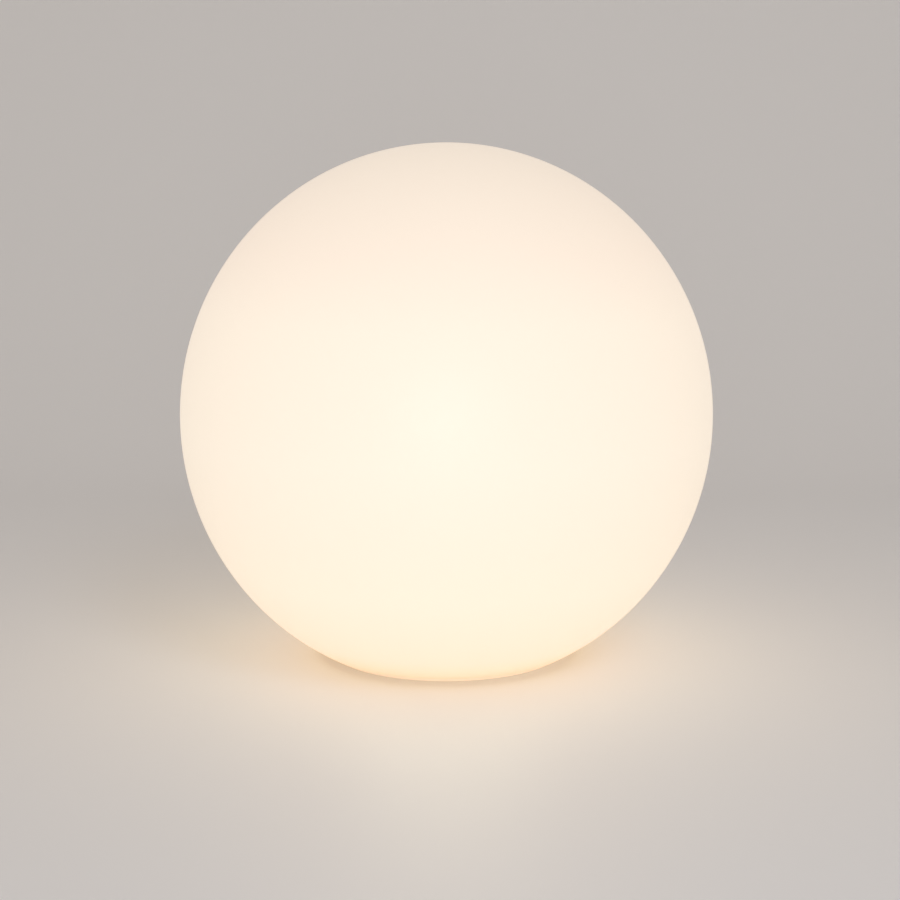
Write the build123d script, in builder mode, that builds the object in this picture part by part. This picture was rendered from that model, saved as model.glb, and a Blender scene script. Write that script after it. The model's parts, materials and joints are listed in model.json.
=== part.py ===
from build123d import *
from math import acos, asin, cos, degrees, hypot, radians, sin, sqrt
import os

# Garden globe light: a moulded ball that stands on a small flat, with a battery lamp that twists into its
# neck. Millimetres, Z up, origin at the middle of the flat, front towards -Y.

os.makedirs("parts", exist_ok=True)

# ---------------------------------------------------------------- driving dimensions

# Ball
ball_radius = 200.0
ball_half_height = 203.8
foot_radius = 88.0
ball_wall = 4.0
lip_gap = 1.4

# Neck collar, bonded under the ball's lip
collar_flange = 4.0
collar_wall = 4.0
foot_round = 8.0
seat_depth = 14.0
seat_round = 1.5
rim_lead_in = 2.0
boss_radius = 6.0
boss_roof = 3.0
boss_edge_round = 1.0

# Neck ring with its gasket, inserts and screws
gasket_thick = 1.5
ring_flange = 3.5
ring_wall = 3.0
ring_lip = 5.0
ring_edge_round = 0.8
ring_side_gap = 2.0
neck_gap = 1.5
neck_screw_count = 6
neck_screw_radius = 1.9
neck_screw_length = 10.5
neck_head_radius = 4.0
insert_radius = 2.9
insert_length = 9.0
insert_groove_count = 2
insert_groove_depth = 0.4
insert_groove_width = 1.2
insert_groove_rise = 3.0
insert_groove_pitch = 3.0

# Seal
seal_thick = 2.0
seal_sunk = 0.8
seal_inset = 1.4
seal_side_gap = 0.4
seal_round = 0.4

# Bayonet thread
thread_lead = 18.0
thread_starts = 3
ridge_span = 68.0
ridge_depth = 3.2
ridge_root = 4.5
ridge_rise = 8.5
ridge_play = 0.8
lug_span = 44.0
lug_root = 5.0
lug_play = 0.6
flank_slope = 0.35
flank_play = 0.4
rib_bury = 0.6
stop_width = 4.0
stop_height = 6.0
stop_angle_gap = 1.0
wall_over_lug = 3.0

# Cells, cradle and links
cell_radius = 9.2
cell_length = 65.2
cell_gap = 0.6
cell_edge_round = 1.0
cell_cap_radius = 3.0
cell_cap_height = 1.2
cell_corner_gap = 2.5
cell_headroom = 3.2
cell_side_gap = 1.8
trough_floor = 1.5
trough_wall = 1.4
trough_gap = 0.1
trough_lip = 2.0
cradle_end_wall = 1.5
cradle_end_gap = 0.2
cradle_end_half_width = 14.0
cradle_end_height = 4.0
tab_size = 9.0
link_thick = 0.3
link_height = 8.0
link_tail = 6.0
link_reach = 4.0
link_slot_gap = 0.3

# Lamp unit's cup
cup_wall = 2.5
cup_flange = 4.0
cup_floor = 3.0
flange_reach = 9.0
flange_round = 1.2
grip_bar = 16.0
grip_round = 1.2
pocket_depth = 13.0
pocket_wall = 2.5
pocket_margin = 7.0
pocket_corner = 5.0
post_radius = 3.2
post_side = 12.0
cover_post_radius = 4.2
cover_post_bury = 0.3
cover_post_count = 4
cover_post_turn = 45.0
cover_pilot_depth = 8.0

# Push button, its ring, plunger and switch
control_offset = 21.0
button_radius = 6.5
button_proud = 1.2
button_travel = 0.8
button_gap = 0.3
button_flange = 1.0
button_flange_reach = 1.4
button_dish = 0.5
button_round = 0.6
o_ring_radius = 0.5
o_ring_gap = 0.05
o_ring_rise = 0.9
o_ring_slack = 0.1
switch_size = 6.2
switch_corner = 0.5
switch_height = 3.2
switch_gap = 0.4
plunger_radius = 1.6
plunger_gap = 0.35
plunger_engage = 1.4

# Charge light
pipe_offset = 12.0
pipe_radius = 1.5
pipe_head_radius = 2.2
pipe_head = 1.0
led_length = 2.0
led_width = 1.25
led_height = 0.8

# Charging socket, its cover and hinge pin
socket_width = 8.94
socket_height = 3.26
socket_wall = 0.3
socket_back = 1.0
tongue_width = 6.7
tongue_thick = 0.7
tongue_short = 0.8
slot_gap = 0.5
flap_thick = 1.8
flap_width = 9.0
flap_gap = 0.4
flap_overhang = 2.4
flap_corner = 2.0
flap_hinge_offset = 11.0
flap_pull = 3.0
flap_pull_thick = 0.9
plug_gap = 0.7
plug_height = 2.0
pin_radius = 0.75
pin_gap = 0.05
pin_head_radius = 1.3
pin_head = 0.6
knuckle_radius = 1.5
ear_radius = 2.2
ear_thick = 2.0
ear_gap = 0.3

# Control board and what stands on it
board_thick = 1.6
board_margin = 4.0
notch_gap = 0.8
stud_radius = 1.2
stud_length = 4.0
stud_gap = 0.1
spacer_length = 8.0
spacer_flats = 5.0
spacer_thread_depth = 6.0
chip_size = 7.0
chip_height = 1.0
chip_pin_reach = 0.9
chip_pin_width = 0.35
chip_pin_thick = 0.2
chip_pin_pitch = 0.85
chip_pins = 7
chip_spots = ((10.0, -6.0), (-10.0, -17.0))
coil_size = 10.0
coil_corner = 1.5
coil_height = 4.2
coil_window_radius = 3.6
coil_window_depth = 0.6
coil_spot = (-8.0, 8.0)
can_radius = 3.15
can_height = 5.4
can_foot = 6.6
can_foot_height = 0.9
can_groove_rise = 0.9
can_groove = 0.3
can_round = 0.3
can_spots = ((9.0, 14.0), (9.0, 23.0))
lead_socket_width = 5.0
lead_socket_length = 8.0
lead_socket_height = 5.5
lead_engage = 2.75
lead_socket_corner = 0.5

# Screws of the lamp unit
small_head_radius = 2.6
small_head = 1.8
small_screw_radius = 1.2
small_screw_length = 7.0
cradle_screw_length = 5.5
screw_hole_gap = 0.25
thread_gap = 0.05
screw_tip = 0.5
driver_share = 0.55
grub_radius = 1.5

# Top cover with its gasket
cover_plate = 2.5
cover_gasket = 1.0
cover_gasket_width = 1.6
cover_gasket_inset = 0.4
spigot_wall = 1.2
spigot_gap = 0.3
spigot_drop = 3.0
dome_rise = 5.0
dome_margin = 9.0
dome_round = 3.0
mast_socket_wall = 3.5
mast_socket_depth = 14.0
mast_ledge = 3.0
gusset_thick = 2.5
gusset_reach = 9.0
gusset_height = 10.0
mast_screw_count = 3

# Mast, grommet and lamp leads
mast_radius = 10.0
mast_wall = 1.5
mast_gap = 0.05
grommet_flange = 1.4
grommet_gap = 0.3
lead_radius = 0.8
lead_spacing = 4.0
lead_bend = 8.0
lead_turn = 4.0
lead_gap = 1.3
lead_rise = 1.5

# Lamp head: heat sink, column, boards and frosted dome
lamp_drop = 10.0
diffuser_radius = 33.0
diffuser_headroom = 16.0
diffuser_wall = 2.0
diffuser_lip = 2.6
diffuser_lip_thick = 2.0
lamp_base_plate = 3.0
locator_height = 3.0
locator_wall = 1.7
locator_gap = 0.3
lamp_screw_count = 3
lamp_screw_turn = 90.0
lamp_screw_circle = 24.0
lamp_post_radius = 3.4
clamp_wall = 2.0
clamp_gap = 0.3
clamp_lip = 2.0
clamp_hook = 1.0
clamp_hook_height = 1.2
sink_height = 18.0
sink_plate = 2.5
sink_core_radius = 16.0
sink_radius = 31.0
sink_mast_depth = 11.0
sink_screw_count = 2
fin_count = 20
fin_thick = 1.6
column_flats = 24.0
column_bore_radius = 6.5
column_spigot = 4.0
column_spigot_radius = 9.0
column_rebate = 0.4
strip_count = 6
strip_width = 12.4
strip_height = 54.0
strip_thick = 1.2
strip_corner = 1.0
strip_side_gap = 0.1
strip_foot_gap = 2.0
strip_top_gap = 1.0
emitter_rows = 5
emitter_size = 3.5
emitter_height = 0.9
emitter_dish_radius = 1.25
emitter_dish_depth = 0.3
top_board_radius = 11.0
top_emitter_count = 4
top_emitter_circle = 6.5

# ---------------------------------------------------------------- sizes worked out from them

# Ball
touch = 0.01
centre_z = ball_half_height * sqrt(1 - (foot_radius / ball_radius) ** 2)
foot_angle = -degrees(acos(foot_radius / ball_radius))
seam_angle = -degrees(asin((centre_z - collar_flange) / ball_half_height))
seam_radius = ball_radius * cos(radians(seam_angle))
inner_radius = ball_radius - ball_wall
inner_half_height = ball_half_height - ball_wall
lip_top_z = collar_flange + ball_wall
lip_angle = -degrees(asin((centre_z - lip_top_z) / inner_half_height))
seat_roof_z = seat_depth + collar_wall
boss_top_z = seat_depth + insert_length + boss_roof

# The stack that hangs under the seat
ring_top_z = seat_depth - gasket_thick
ring_z = ring_top_z - ring_flange
seal_z = ring_z - seal_thick
flange_top_z = seal_z + seal_sunk
cup_z = flange_top_z - cup_flange

# Radii from the cells outwards
cell_x = cell_gap / 2 + cell_radius
cells_half_width = cell_x + cell_radius
cells_half_length = cell_length / 2
cup_bore = hypot(cells_half_width, cells_half_length) + cell_corner_gap
barrel_radius = cup_bore + cup_wall
ridge_tip_radius = barrel_radius + ridge_play
ring_bore = ridge_tip_radius + ridge_depth
lug_radius = ring_bore - lug_play
ring_outer = ring_bore + ring_wall
neck_bore = ring_outer + neck_gap
flange_radius = ring_bore + flange_reach
seal_inner_radius = ring_bore + seal_inset
seal_outer_radius = flange_radius - seal_side_gap - flange_round - seal_inset
screw_circle = flange_radius + neck_head_radius + ring_side_gap
ring_flange_radius = screw_circle + ring_lip
seat_radius = ring_flange_radius + ring_side_gap
seat_wall_radius = seat_radius + collar_wall
lip_radius = seat_wall_radius + lip_gap

# Thread: the lug rides on the ridge, and their parallel flanks keep flank_play
ridge_z = ring_top_z + ridge_rise
lug_z = ridge_z + (ridge_root + lug_root) / 2 - flank_slope * (ring_bore - barrel_radius) + flank_play
lug_top_z = lug_z + lug_root / 2 + thread_lead * lug_span / 720
ring_wall_top_z = lug_top_z + wall_over_lug
stop_angle = lug_span / 2 + stop_angle_gap + degrees(stop_width / 2 / ridge_tip_radius)

# Pockets, button and board
pocket_radius = cup_bore - pocket_margin
pocket_z = cup_z + pocket_depth
roof_z = pocket_z + pocket_wall
button_z = pocket_z - button_proud
button_top_z = roof_z + button_flange
o_ring_z = pocket_z + o_ring_rise
o_ring_circle = button_radius + button_gap - o_ring_gap - o_ring_radius
switch_z = button_top_z + button_travel + switch_gap
plunger_top_z = switch_z + plunger_engage
board_z = switch_z + switch_height
board_top_z = board_z + board_thick
board_radius = cup_bore - board_margin
hinge_x = -flap_hinge_offset
hinge_z = pocket_z - flap_gap - knuckle_radius
flap_top_z = pocket_z - flap_gap
slot_width = socket_width + 2 * slot_gap
slot_height = socket_height + 2 * slot_gap
flap_end_x = slot_width / 2 + flap_overhang
ear_y = flap_width / 2 + ear_gap + ear_thick / 2
cover_post_circle = cup_bore + cover_post_bury - cover_post_radius
post_x = cells_half_width + cell_side_gap + small_head_radius

# Cradle and cover
cradle_z = board_top_z + spacer_length
cell_z = cradle_z + trough_floor + trough_gap + cell_radius
cells_top_z = cell_z + cell_radius
trough_top_z = cell_z - trough_lip
trough_radius = cell_radius + trough_gap
trough_trim = 2 * (cell_x + trough_radius + 2 * trough_wall)
cradle_end_y = cells_half_length + link_thick + cradle_end_gap
cradle_half_length = cradle_end_y + cradle_end_wall
cup_rim_z = cells_top_z + cell_headroom
cover_z = cup_rim_z + cover_gasket
cover_top_z = cover_z + cover_plate
dome_z = cover_z + dome_rise
dome_radius = cup_bore - dome_margin
spigot_radius = cup_bore - spigot_gap
mast_socket_radius = mast_radius + mast_gap + mast_socket_wall
ledge_z = dome_z + mast_ledge
mast_socket_z = ledge_z + mast_socket_depth
mast_screw_z = (ledge_z + mast_socket_z) / 2
mast_bore = mast_radius - mast_wall
ledge_radius = mast_bore - grommet_flange
lead_x = post_x + tab_size / 2 + 2 * lead_radius
lead_turn_z = cells_top_z + lead_gap + lead_radius

# Lamp head, hung from the middle of its glow
column_height = lamp_base_plate + strip_foot_gap + strip_height + strip_top_gap
diffuser_height = column_height - lamp_base_plate + diffuser_headroom
lamp_z = centre_z - lamp_drop
diffuser_z = lamp_z - diffuser_height / 2
sink_top_z = diffuser_z - lamp_base_plate
sink_z = sink_top_z - sink_height
mast_top_z = sink_z + sink_mast_depth
column_top_z = sink_top_z + column_height
strip_face = column_flats / 2 - column_rebate
strip_z = column_top_z - strip_top_gap - strip_height / 2
top_board_z = column_top_z + strip_thick
lamp_base_radius = diffuser_radius + diffuser_lip + clamp_gap
clamp_z = diffuser_z + diffuser_lip_thick


# ---------------------------------------------------------------- shapes used more than once

def facing(angle, radius, height):
    """Plane square to the radius at this angle, looking outwards, with its Y up."""
    east, north = cos(radians(angle)), sin(radians(angle))
    centre = (radius * east, radius * north, height)
    return Plane(origin=centre, x_dir=(-north, east, 0), z_dir=(east, north, 0))


def around(count, first=0):
    """Angles of this many places spread evenly round the axis."""
    return [first + 360 * place / count for place in range(count)]


def edges_at(piece, height):
    """The piece's level circles at this height, smallest first."""
    level = piece.edges().filter_by_position(Axis.Z, height - touch, height + touch)
    return level.filter_by(GeomType.CIRCLE).sort_by(SortBy.RADIUS)


def screw_shape(head_radius, head_height, neck_radius, shank_radius, length):
    """Screw with a hexagon socket, the top of its head at the origin and its shank towards -Z."""
    with BuildPart() as screw:
        with BuildSketch(Plane.XZ):
            with BuildLine():
                Polyline(
                    (0, 0),
                    (head_radius, 0),
                    (neck_radius, -head_height),
                    (shank_radius, -head_height),
                    (shank_radius, screw_tip - length),
                    (shank_radius - screw_tip, -length),
                    (0, -length),
                    close=True,
                )
            make_face()
        revolve(axis=Axis.Z)
        with BuildSketch():
            RegularPolygon(driver_share * head_radius, 6)
        extrude(amount=-driver_share * head_height, mode=Mode.SUBTRACT)
    return screw.part


def grub_shape(length):
    """Headless screw from the origin towards -Z, with its hexagon socket at the origin."""
    with BuildPart() as grub:
        with BuildSketch():
            Circle(grub_radius)
        extrude(amount=-length)
        with BuildSketch():
            RegularPolygon(driver_share * grub_radius, 6)
        extrude(amount=-driver_share * length, mode=Mode.SUBTRACT)
    return grub.part


def thread_rib(root_radius, tip_radius, root_thick, span, height):
    """A trapezoid carried along the thread's helix through the span, with its middle on +X at the height."""
    rise = thread_lead * span / 360
    tip_thick = root_thick - 2 * flank_slope * abs(tip_radius - root_radius)
    with BuildPart() as rib:
        with BuildLine():
            Helix(pitch=thread_lead, height=rise, radius=root_radius)
        with BuildSketch(Plane.XZ):
            with BuildLine():
                Polyline(
                    (root_radius, -root_thick / 2),
                    (tip_radius, -tip_thick / 2),
                    (tip_radius, tip_thick / 2),
                    (root_radius, root_thick / 2),
                    close=True,
                )
            make_face()
        sweep(is_frenet=True)
    return Pos(0, 0, height - rise / 2) * Rot(0, 0, -span / 2) * rib.part


def pocket_pair(grow):
    """The two D-shaped outlines beside the grip bar, grown by a wall."""
    with BuildSketch() as outline:
        Circle(pocket_radius + grow)
        Rectangle(2 * (pocket_radius + grow), grip_bar - 2 * grow, mode=Mode.SUBTRACT)
        fillet(outline.vertices(), radius=pocket_corner + grow)
    return outline.sketch


root_spread = 2 * flank_slope * rib_bury
ridge_shape = thread_rib(
    ring_bore + rib_bury, ridge_tip_radius, ridge_root + root_spread, ridge_span, ridge_z
)
lug_shape = thread_rib(barrel_radius - rib_bury, lug_radius, lug_root + root_spread, lug_span, lug_z)
pocket_outlines = pocket_pair(0)
pocket_housings = pocket_pair(pocket_wall)
small_screw = screw_shape(
    small_head_radius, small_head, small_head_radius, small_screw_radius, small_screw_length
)

# ---------------------------------------------------------------- ball

# One even wall turned round, with a flat lip turned in at its foot
with BuildPart() as globe_shell:
    with BuildSketch(Plane.XZ):
        with BuildLine():
            EllipticalCenterArc((0, centre_z), ball_radius, ball_half_height, 90, arc_size=seam_angle - 90)
            Polyline(
                (seam_radius, collar_flange),
                (lip_radius, collar_flange),
                (lip_radius, lip_top_z),
                (inner_radius * cos(radians(lip_angle)), lip_top_z),
            )
            EllipticalCenterArc((0, centre_z), inner_radius, inner_half_height, 90, arc_size=lip_angle - 90)
            Line((0, centre_z + inner_half_height), (0, centre_z + ball_half_height))
        make_face()
    revolve(axis=Axis.Z)
globe_shell.part.label = "globe_shell"
export_step(globe_shell.part, "parts/globe_shell.step")

# Turned section: standing flange that carries on the ball's curve, wall and seat, with a blind boss for
# each insert
with BuildPart() as neck_collar:
    with BuildSketch(Plane.XZ):
        with BuildLine():
            EllipticalCenterArc(
                (0, centre_z), ball_radius, ball_half_height, foot_angle, arc_size=seam_angle - foot_angle
            )
            Polyline(
                (seam_radius, collar_flange),
                (seat_wall_radius, collar_flange),
                (seat_wall_radius, seat_roof_z),
                (neck_bore, seat_roof_z),
                (neck_bore, seat_depth),
                (seat_radius, seat_depth),
                (seat_radius, 0),
                (foot_radius, 0),
            )
        make_face()
    revolve(axis=Axis.Z)
    fillet(edges_at(neck_collar, 0)[-1], radius=foot_round)
    fillet(edges_at(neck_collar, 0)[0], radius=rim_lead_in)
    fillet(edges_at(neck_collar, seat_depth)[-1], radius=seat_round)
    with BuildSketch(Plane.XY.offset(seat_depth + collar_wall / 2)):
        with PolarLocations(screw_circle, neck_screw_count):
            Circle(boss_radius)
    extrude(amount=boss_top_z - seat_depth - collar_wall / 2)
    fillet(edges_at(neck_collar, boss_top_z), radius=boss_edge_round)
    with BuildSketch(Plane.XY.offset(seat_depth)):
        with PolarLocations(screw_circle, neck_screw_count):
            Circle(insert_radius)
    extrude(amount=insert_length, mode=Mode.SUBTRACT)
neck_collar.part.label = "neck_collar"
export_step(neck_collar.part, "parts/neck_collar.step")

with BuildPart() as shell_inserts:
    with BuildSketch(Plane.XY.offset(seat_depth)):
        with PolarLocations(screw_circle, neck_screw_count):
            Circle(insert_radius)
            Circle(neck_screw_radius, mode=Mode.SUBTRACT)
    extrude(amount=insert_length)
    for groove in range(insert_groove_count):
        groove_middle = seat_depth + insert_groove_rise + groove * insert_groove_pitch
        with BuildSketch(Plane.XY.offset(groove_middle - insert_groove_width / 2)):
            with PolarLocations(screw_circle, neck_screw_count):
                Circle(insert_radius)
                Circle(insert_radius - insert_groove_depth, mode=Mode.SUBTRACT)
        extrude(amount=insert_groove_width, mode=Mode.SUBTRACT)
shell_inserts.part.label = "shell_inserts"
export_step(shell_inserts.part, "parts/shell_inserts.step")

with BuildPart() as neck_gasket:
    with BuildSketch(Plane.XY.offset(ring_top_z)):
        Circle(ring_flange_radius)
        Circle(neck_bore, mode=Mode.SUBTRACT)
        with PolarLocations(screw_circle, neck_screw_count):
            Circle(neck_screw_radius + screw_hole_gap, mode=Mode.SUBTRACT)
    extrude(amount=gasket_thick)
neck_gasket.part.label = "neck_gasket"
export_step(neck_gasket.part, "parts/neck_gasket.step")

# Flange and wall in one turned section, then the three helical ridges and the stops above their far ends
with BuildPart() as neck_ring:
    with BuildSketch(Plane.XZ):
        with BuildLine():
            Polyline(
                (ring_bore, ring_z),
                (ring_flange_radius, ring_z),
                (ring_flange_radius, ring_top_z),
                (ring_outer, ring_top_z),
                (ring_outer, ring_wall_top_z),
                (ring_bore, ring_wall_top_z),
                close=True,
            )
        make_face()
    revolve(axis=Axis.Z)
    fillet(edges_at(neck_ring, ring_z)[-1], radius=ring_edge_round)
    fillet(edges_at(neck_ring, ring_wall_top_z), radius=ring_edge_round)
    with Locations(Plane(origin=(0, 0, ring_z), z_dir=(0, 0, -1))):
        with PolarLocations(screw_circle, neck_screw_count):
            CounterSinkHole(
                neck_screw_radius + screw_hole_gap, neck_head_radius + screw_hole_gap, counter_sink_angle=90
            )
    with PolarLocations(0, thread_starts):
        add(ridge_shape)
    stop_middle = (ridge_tip_radius + ring_bore + rib_bury) / 2
    with BuildSketch(Plane.XY.offset(ridge_z)):
        with PolarLocations(stop_middle, thread_starts, start_angle=stop_angle):
            Rectangle(ridge_depth + rib_bury, stop_width)
    extrude(amount=stop_height + ridge_root / 2)
neck_ring.part.label = "neck_ring"
export_step(neck_ring.part, "parts/neck_ring.step")

neck_screw = screw_shape(
    neck_head_radius,
    neck_head_radius - neck_screw_radius,
    neck_screw_radius,
    neck_screw_radius - thread_gap,
    neck_screw_length,
)
with BuildPart() as neck_screws:
    with Locations(Plane(origin=(0, 0, ring_z), z_dir=(0, 0, -1))):
        with PolarLocations(screw_circle, neck_screw_count):
            add(neck_screw)
neck_screws.part.label = "neck_screws"
export_step(neck_screws.part, "parts/neck_screws.step")

with BuildPart() as lamp_seal:
    with BuildSketch(Plane.XY.offset(seal_z)):
        Circle(seal_outer_radius)
        Circle(seal_inner_radius, mode=Mode.SUBTRACT)
    extrude(amount=seal_thick)
    fillet(lamp_seal.edges(), radius=seal_round)
lamp_seal.part.label = "lamp_seal"
export_step(lamp_seal.part, "parts/lamp_seal.step")

# ---------------------------------------------------------------- lamp unit's cup

with BuildPart() as base_cup:
    with BuildSketch(Plane.XZ):
        with BuildLine():
            Polyline(
                (0, cup_z),
                (flange_radius, cup_z),
                (flange_radius, flange_top_z),
                (barrel_radius, flange_top_z),
                (barrel_radius, cup_rim_z),
                (cup_bore, cup_rim_z),
                (cup_bore, cup_z + cup_floor),
                (0, cup_z + cup_floor),
                close=True,
            )
        make_face()
    revolve(axis=Axis.Z)
    fillet(base_cup.edges().filter_by(GeomType.CIRCLE).group_by(SortBy.RADIUS)[-1], radius=flange_round)
    with BuildSketch(Plane.XY.offset(seal_z)):
        Circle(seal_outer_radius + seal_side_gap)
        Circle(seal_inner_radius - seal_side_gap, mode=Mode.SUBTRACT)
    extrude(amount=seal_sunk, mode=Mode.SUBTRACT)
    # housings of the two finger pockets, then the pockets, which leave the grip bar between them
    with BuildSketch(Plane.XY.offset(cup_z)):
        add(pocket_housings)
    extrude(amount=roof_z - cup_z)
    with BuildSketch(Plane.XY.offset(cup_z)):
        add(pocket_outlines)
    extrude(amount=pocket_depth, mode=Mode.SUBTRACT)
    fillet(base_cup.faces().sort_by(Axis.Z)[0].inner_wires().edges(), radius=grip_round)
    # posts that carry the board's spacers, and posts for the cover's screws
    with BuildSketch(Plane.XY.offset(roof_z - pocket_wall / 2)):
        with GridLocations(2 * post_x, 2 * post_side, 2, 2):
            Circle(post_radius)
    extrude(amount=board_z - roof_z + pocket_wall / 2)
    with BuildSketch(Plane.XY.offset(cup_z + cup_floor / 2)):
        with PolarLocations(cover_post_circle, cover_post_count, start_angle=cover_post_turn):
            Circle(cover_post_radius)
    extrude(amount=cover_z - cup_z - cup_floor / 2)
    with BuildSketch(Plane.XY.offset(cover_z)):
        with PolarLocations(cover_post_circle, cover_post_count, start_angle=cover_post_turn):
            Circle(small_screw_radius)
    extrude(amount=-cover_pilot_depth, mode=Mode.SUBTRACT)
    with BuildSketch(Plane.XY.offset(board_z)):
        with GridLocations(2 * post_x, 2 * post_side, 2, 2):
            Circle(stud_radius)
    extrude(amount=-stud_length, mode=Mode.SUBTRACT)
    # holes in the pockets' roofs for the button, the light pipe and the charging socket
    with BuildSketch(Plane.XY.offset(pocket_z)):
        with Locations((0, -control_offset)):
            Circle(button_radius + button_gap)
        with Locations((pipe_offset, -control_offset)):
            Circle(pipe_radius)
        with Locations((0, control_offset)):
            SlotOverall(slot_width, slot_height)
    extrude(amount=pocket_wall, mode=Mode.SUBTRACT)
    # ears that hold the port cover's pin
    for side in (-1, 1):
        with BuildSketch(Plane.XZ.offset(-control_offset - side * ear_y - ear_thick / 2)):
            with Locations((hinge_x, hinge_z)):
                Circle(ear_radius)
                Rectangle(2 * ear_radius, pocket_z - hinge_z, align=(Align.CENTER, Align.MIN))
                Circle(pin_radius, mode=Mode.SUBTRACT)
        extrude(amount=ear_thick)
    with PolarLocations(0, thread_starts):
        add(lug_shape)
base_cup.part.label = "base_cup"
export_step(base_cup.part, "parts/base_cup.step")

with BuildPart() as light_pipe:
    with BuildSketch(Plane.XY.offset(pocket_z)):
        with Locations((pipe_offset, -control_offset)):
            Circle(pipe_radius)
    extrude(amount=board_z - led_height - pocket_z)
    with BuildSketch(Plane.XY.offset(roof_z)):
        with Locations((pipe_offset, -control_offset)):
            Circle(pipe_head_radius)
    extrude(amount=pipe_head)
light_pipe.part.label = "light_pipe"
export_step(light_pipe.part, "parts/light_pipe.step")

# ---------------------------------------------------------------- push button and port cover

with BuildPart() as power_button:
    with BuildSketch(Plane.XZ.offset(control_offset)):
        with BuildLine():
            TangentArc((0, button_z + button_dish), (button_radius, button_z), tangent=(1, 0))
            Polyline(
                (button_radius, button_z),
                (button_radius, o_ring_z - o_ring_radius - o_ring_slack / 2),
                (o_ring_circle - o_ring_radius, o_ring_z - o_ring_radius - o_ring_slack / 2),
                (o_ring_circle - o_ring_radius, o_ring_z + o_ring_radius + o_ring_slack / 2),
                (button_radius, o_ring_z + o_ring_radius + o_ring_slack / 2),
                (button_radius, roof_z),
                (button_radius + button_flange_reach, roof_z),
                (button_radius + button_flange_reach, button_top_z),
                (0, button_top_z),
                (0, button_z + button_dish),
            )
        make_face()
    revolve(axis=Axis((0, -control_offset, 0), (0, 0, 1)))
    fillet(edges_at(power_button, button_z), radius=button_round)
power_button.part.label = "power_button"
export_step(power_button.part, "parts/power_button.step")

with BuildPart() as button_o_ring:
    with BuildSketch(Plane.XZ.offset(control_offset)):
        with Locations((o_ring_circle, o_ring_z)):
            Circle(o_ring_radius)
    revolve(axis=Axis((0, -control_offset, 0), (0, 0, 1)))
button_o_ring.part.label = "button_o_ring"
export_step(button_o_ring.part, "parts/button_o_ring.step")

with BuildPart() as switch_plunger:
    with BuildSketch(Plane.XY.offset(button_top_z)):
        with Locations((0, -control_offset)):
            Circle(plunger_radius)
    extrude(amount=plunger_top_z - button_top_z)
    chamfer(edges_at(switch_plunger, button_top_z), length=switch_corner)
switch_plunger.part.label = "switch_plunger"
export_step(switch_plunger.part, "parts/switch_plunger.step")

# Flap with its knuckle, its plug for the socket's slot and a thin pull at the free end
with BuildPart() as port_cover:
    with BuildSketch(Plane.XY.offset(flap_top_z - flap_thick)) as flap_outline:
        with Locations(((hinge_x + flap_end_x) / 2, control_offset)):
            Rectangle(flap_end_x - hinge_x, flap_width)
        fillet(flap_outline.vertices().group_by(Axis.X)[-1], radius=flap_corner)
    extrude(amount=flap_thick)
    with BuildSketch(Plane.XY.offset(flap_top_z - flap_pull_thick)):
        with Locations((flap_end_x, control_offset)):
            Circle(flap_pull)
    extrude(amount=flap_pull_thick)
    with BuildSketch(Plane.XY.offset(flap_top_z)):
        with Locations((0, control_offset)):
            SlotOverall(slot_width - 2 * plug_gap, slot_height - 2 * plug_gap)
    extrude(amount=plug_height)
    with BuildSketch(Plane.XZ.offset(-control_offset - flap_width / 2)):
        with Locations((hinge_x, hinge_z)):
            Circle(knuckle_radius)
    extrude(amount=flap_width)
    with BuildSketch(Plane.XZ.offset(-control_offset - flap_width / 2)):
        with Locations((hinge_x, hinge_z)):
            Circle(pin_radius + pin_gap)
    extrude(amount=flap_width, mode=Mode.SUBTRACT)
port_cover.part.label = "port_cover"
export_step(port_cover.part, "parts/port_cover.step")

pin_half_length = ear_y + ear_thick / 2
with BuildPart() as port_pin:
    with BuildSketch(Plane.XZ.offset(-control_offset - pin_half_length)):
        with Locations((hinge_x, hinge_z)):
            Circle(pin_radius)
    extrude(amount=2 * pin_half_length)
    with BuildSketch(Plane.XZ.offset(-control_offset + pin_half_length)):
        with Locations((hinge_x, hinge_z)):
            Circle(pin_head_radius)
    extrude(amount=pin_head)
port_pin.part.label = "port_pin"
export_step(port_pin.part, "parts/port_pin.step")

# ---------------------------------------------------------------- control board and what it carries

with BuildPart() as control_board:
    with BuildSketch(Plane.XY.offset(board_z)):
        Circle(board_radius)
        with PolarLocations(cover_post_circle, cover_post_count, start_angle=cover_post_turn):
            Circle(cover_post_radius + notch_gap, mode=Mode.SUBTRACT)
        with GridLocations(2 * post_x, 2 * post_side, 2, 2):
            Circle(stud_radius + stud_gap, mode=Mode.SUBTRACT)
    extrude(amount=board_thick)
control_board.part.label = "control_board"
export_step(control_board.part, "parts/control_board.step")

# Each chip sits on two crossed rows of gull-wing pins
with BuildPart() as controller_chips:
    with BuildSketch(Plane.XY.offset(board_top_z)):
        with Locations(*chip_spots):
            with GridLocations(0, chip_pin_pitch, 1, chip_pins):
                Rectangle(chip_size + 2 * chip_pin_reach, chip_pin_width)
            with GridLocations(chip_pin_pitch, 0, chip_pins, 1):
                Rectangle(chip_pin_width, chip_size + 2 * chip_pin_reach)
    extrude(amount=chip_pin_thick)
    with BuildSketch(Plane.XY.offset(board_top_z + chip_pin_thick)):
        with Locations(*chip_spots):
            Rectangle(chip_size, chip_size)
    extrude(amount=chip_height)
controller_chips.part.label = "controller_chips"
export_step(controller_chips.part, "parts/controller_chips.step")

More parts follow.
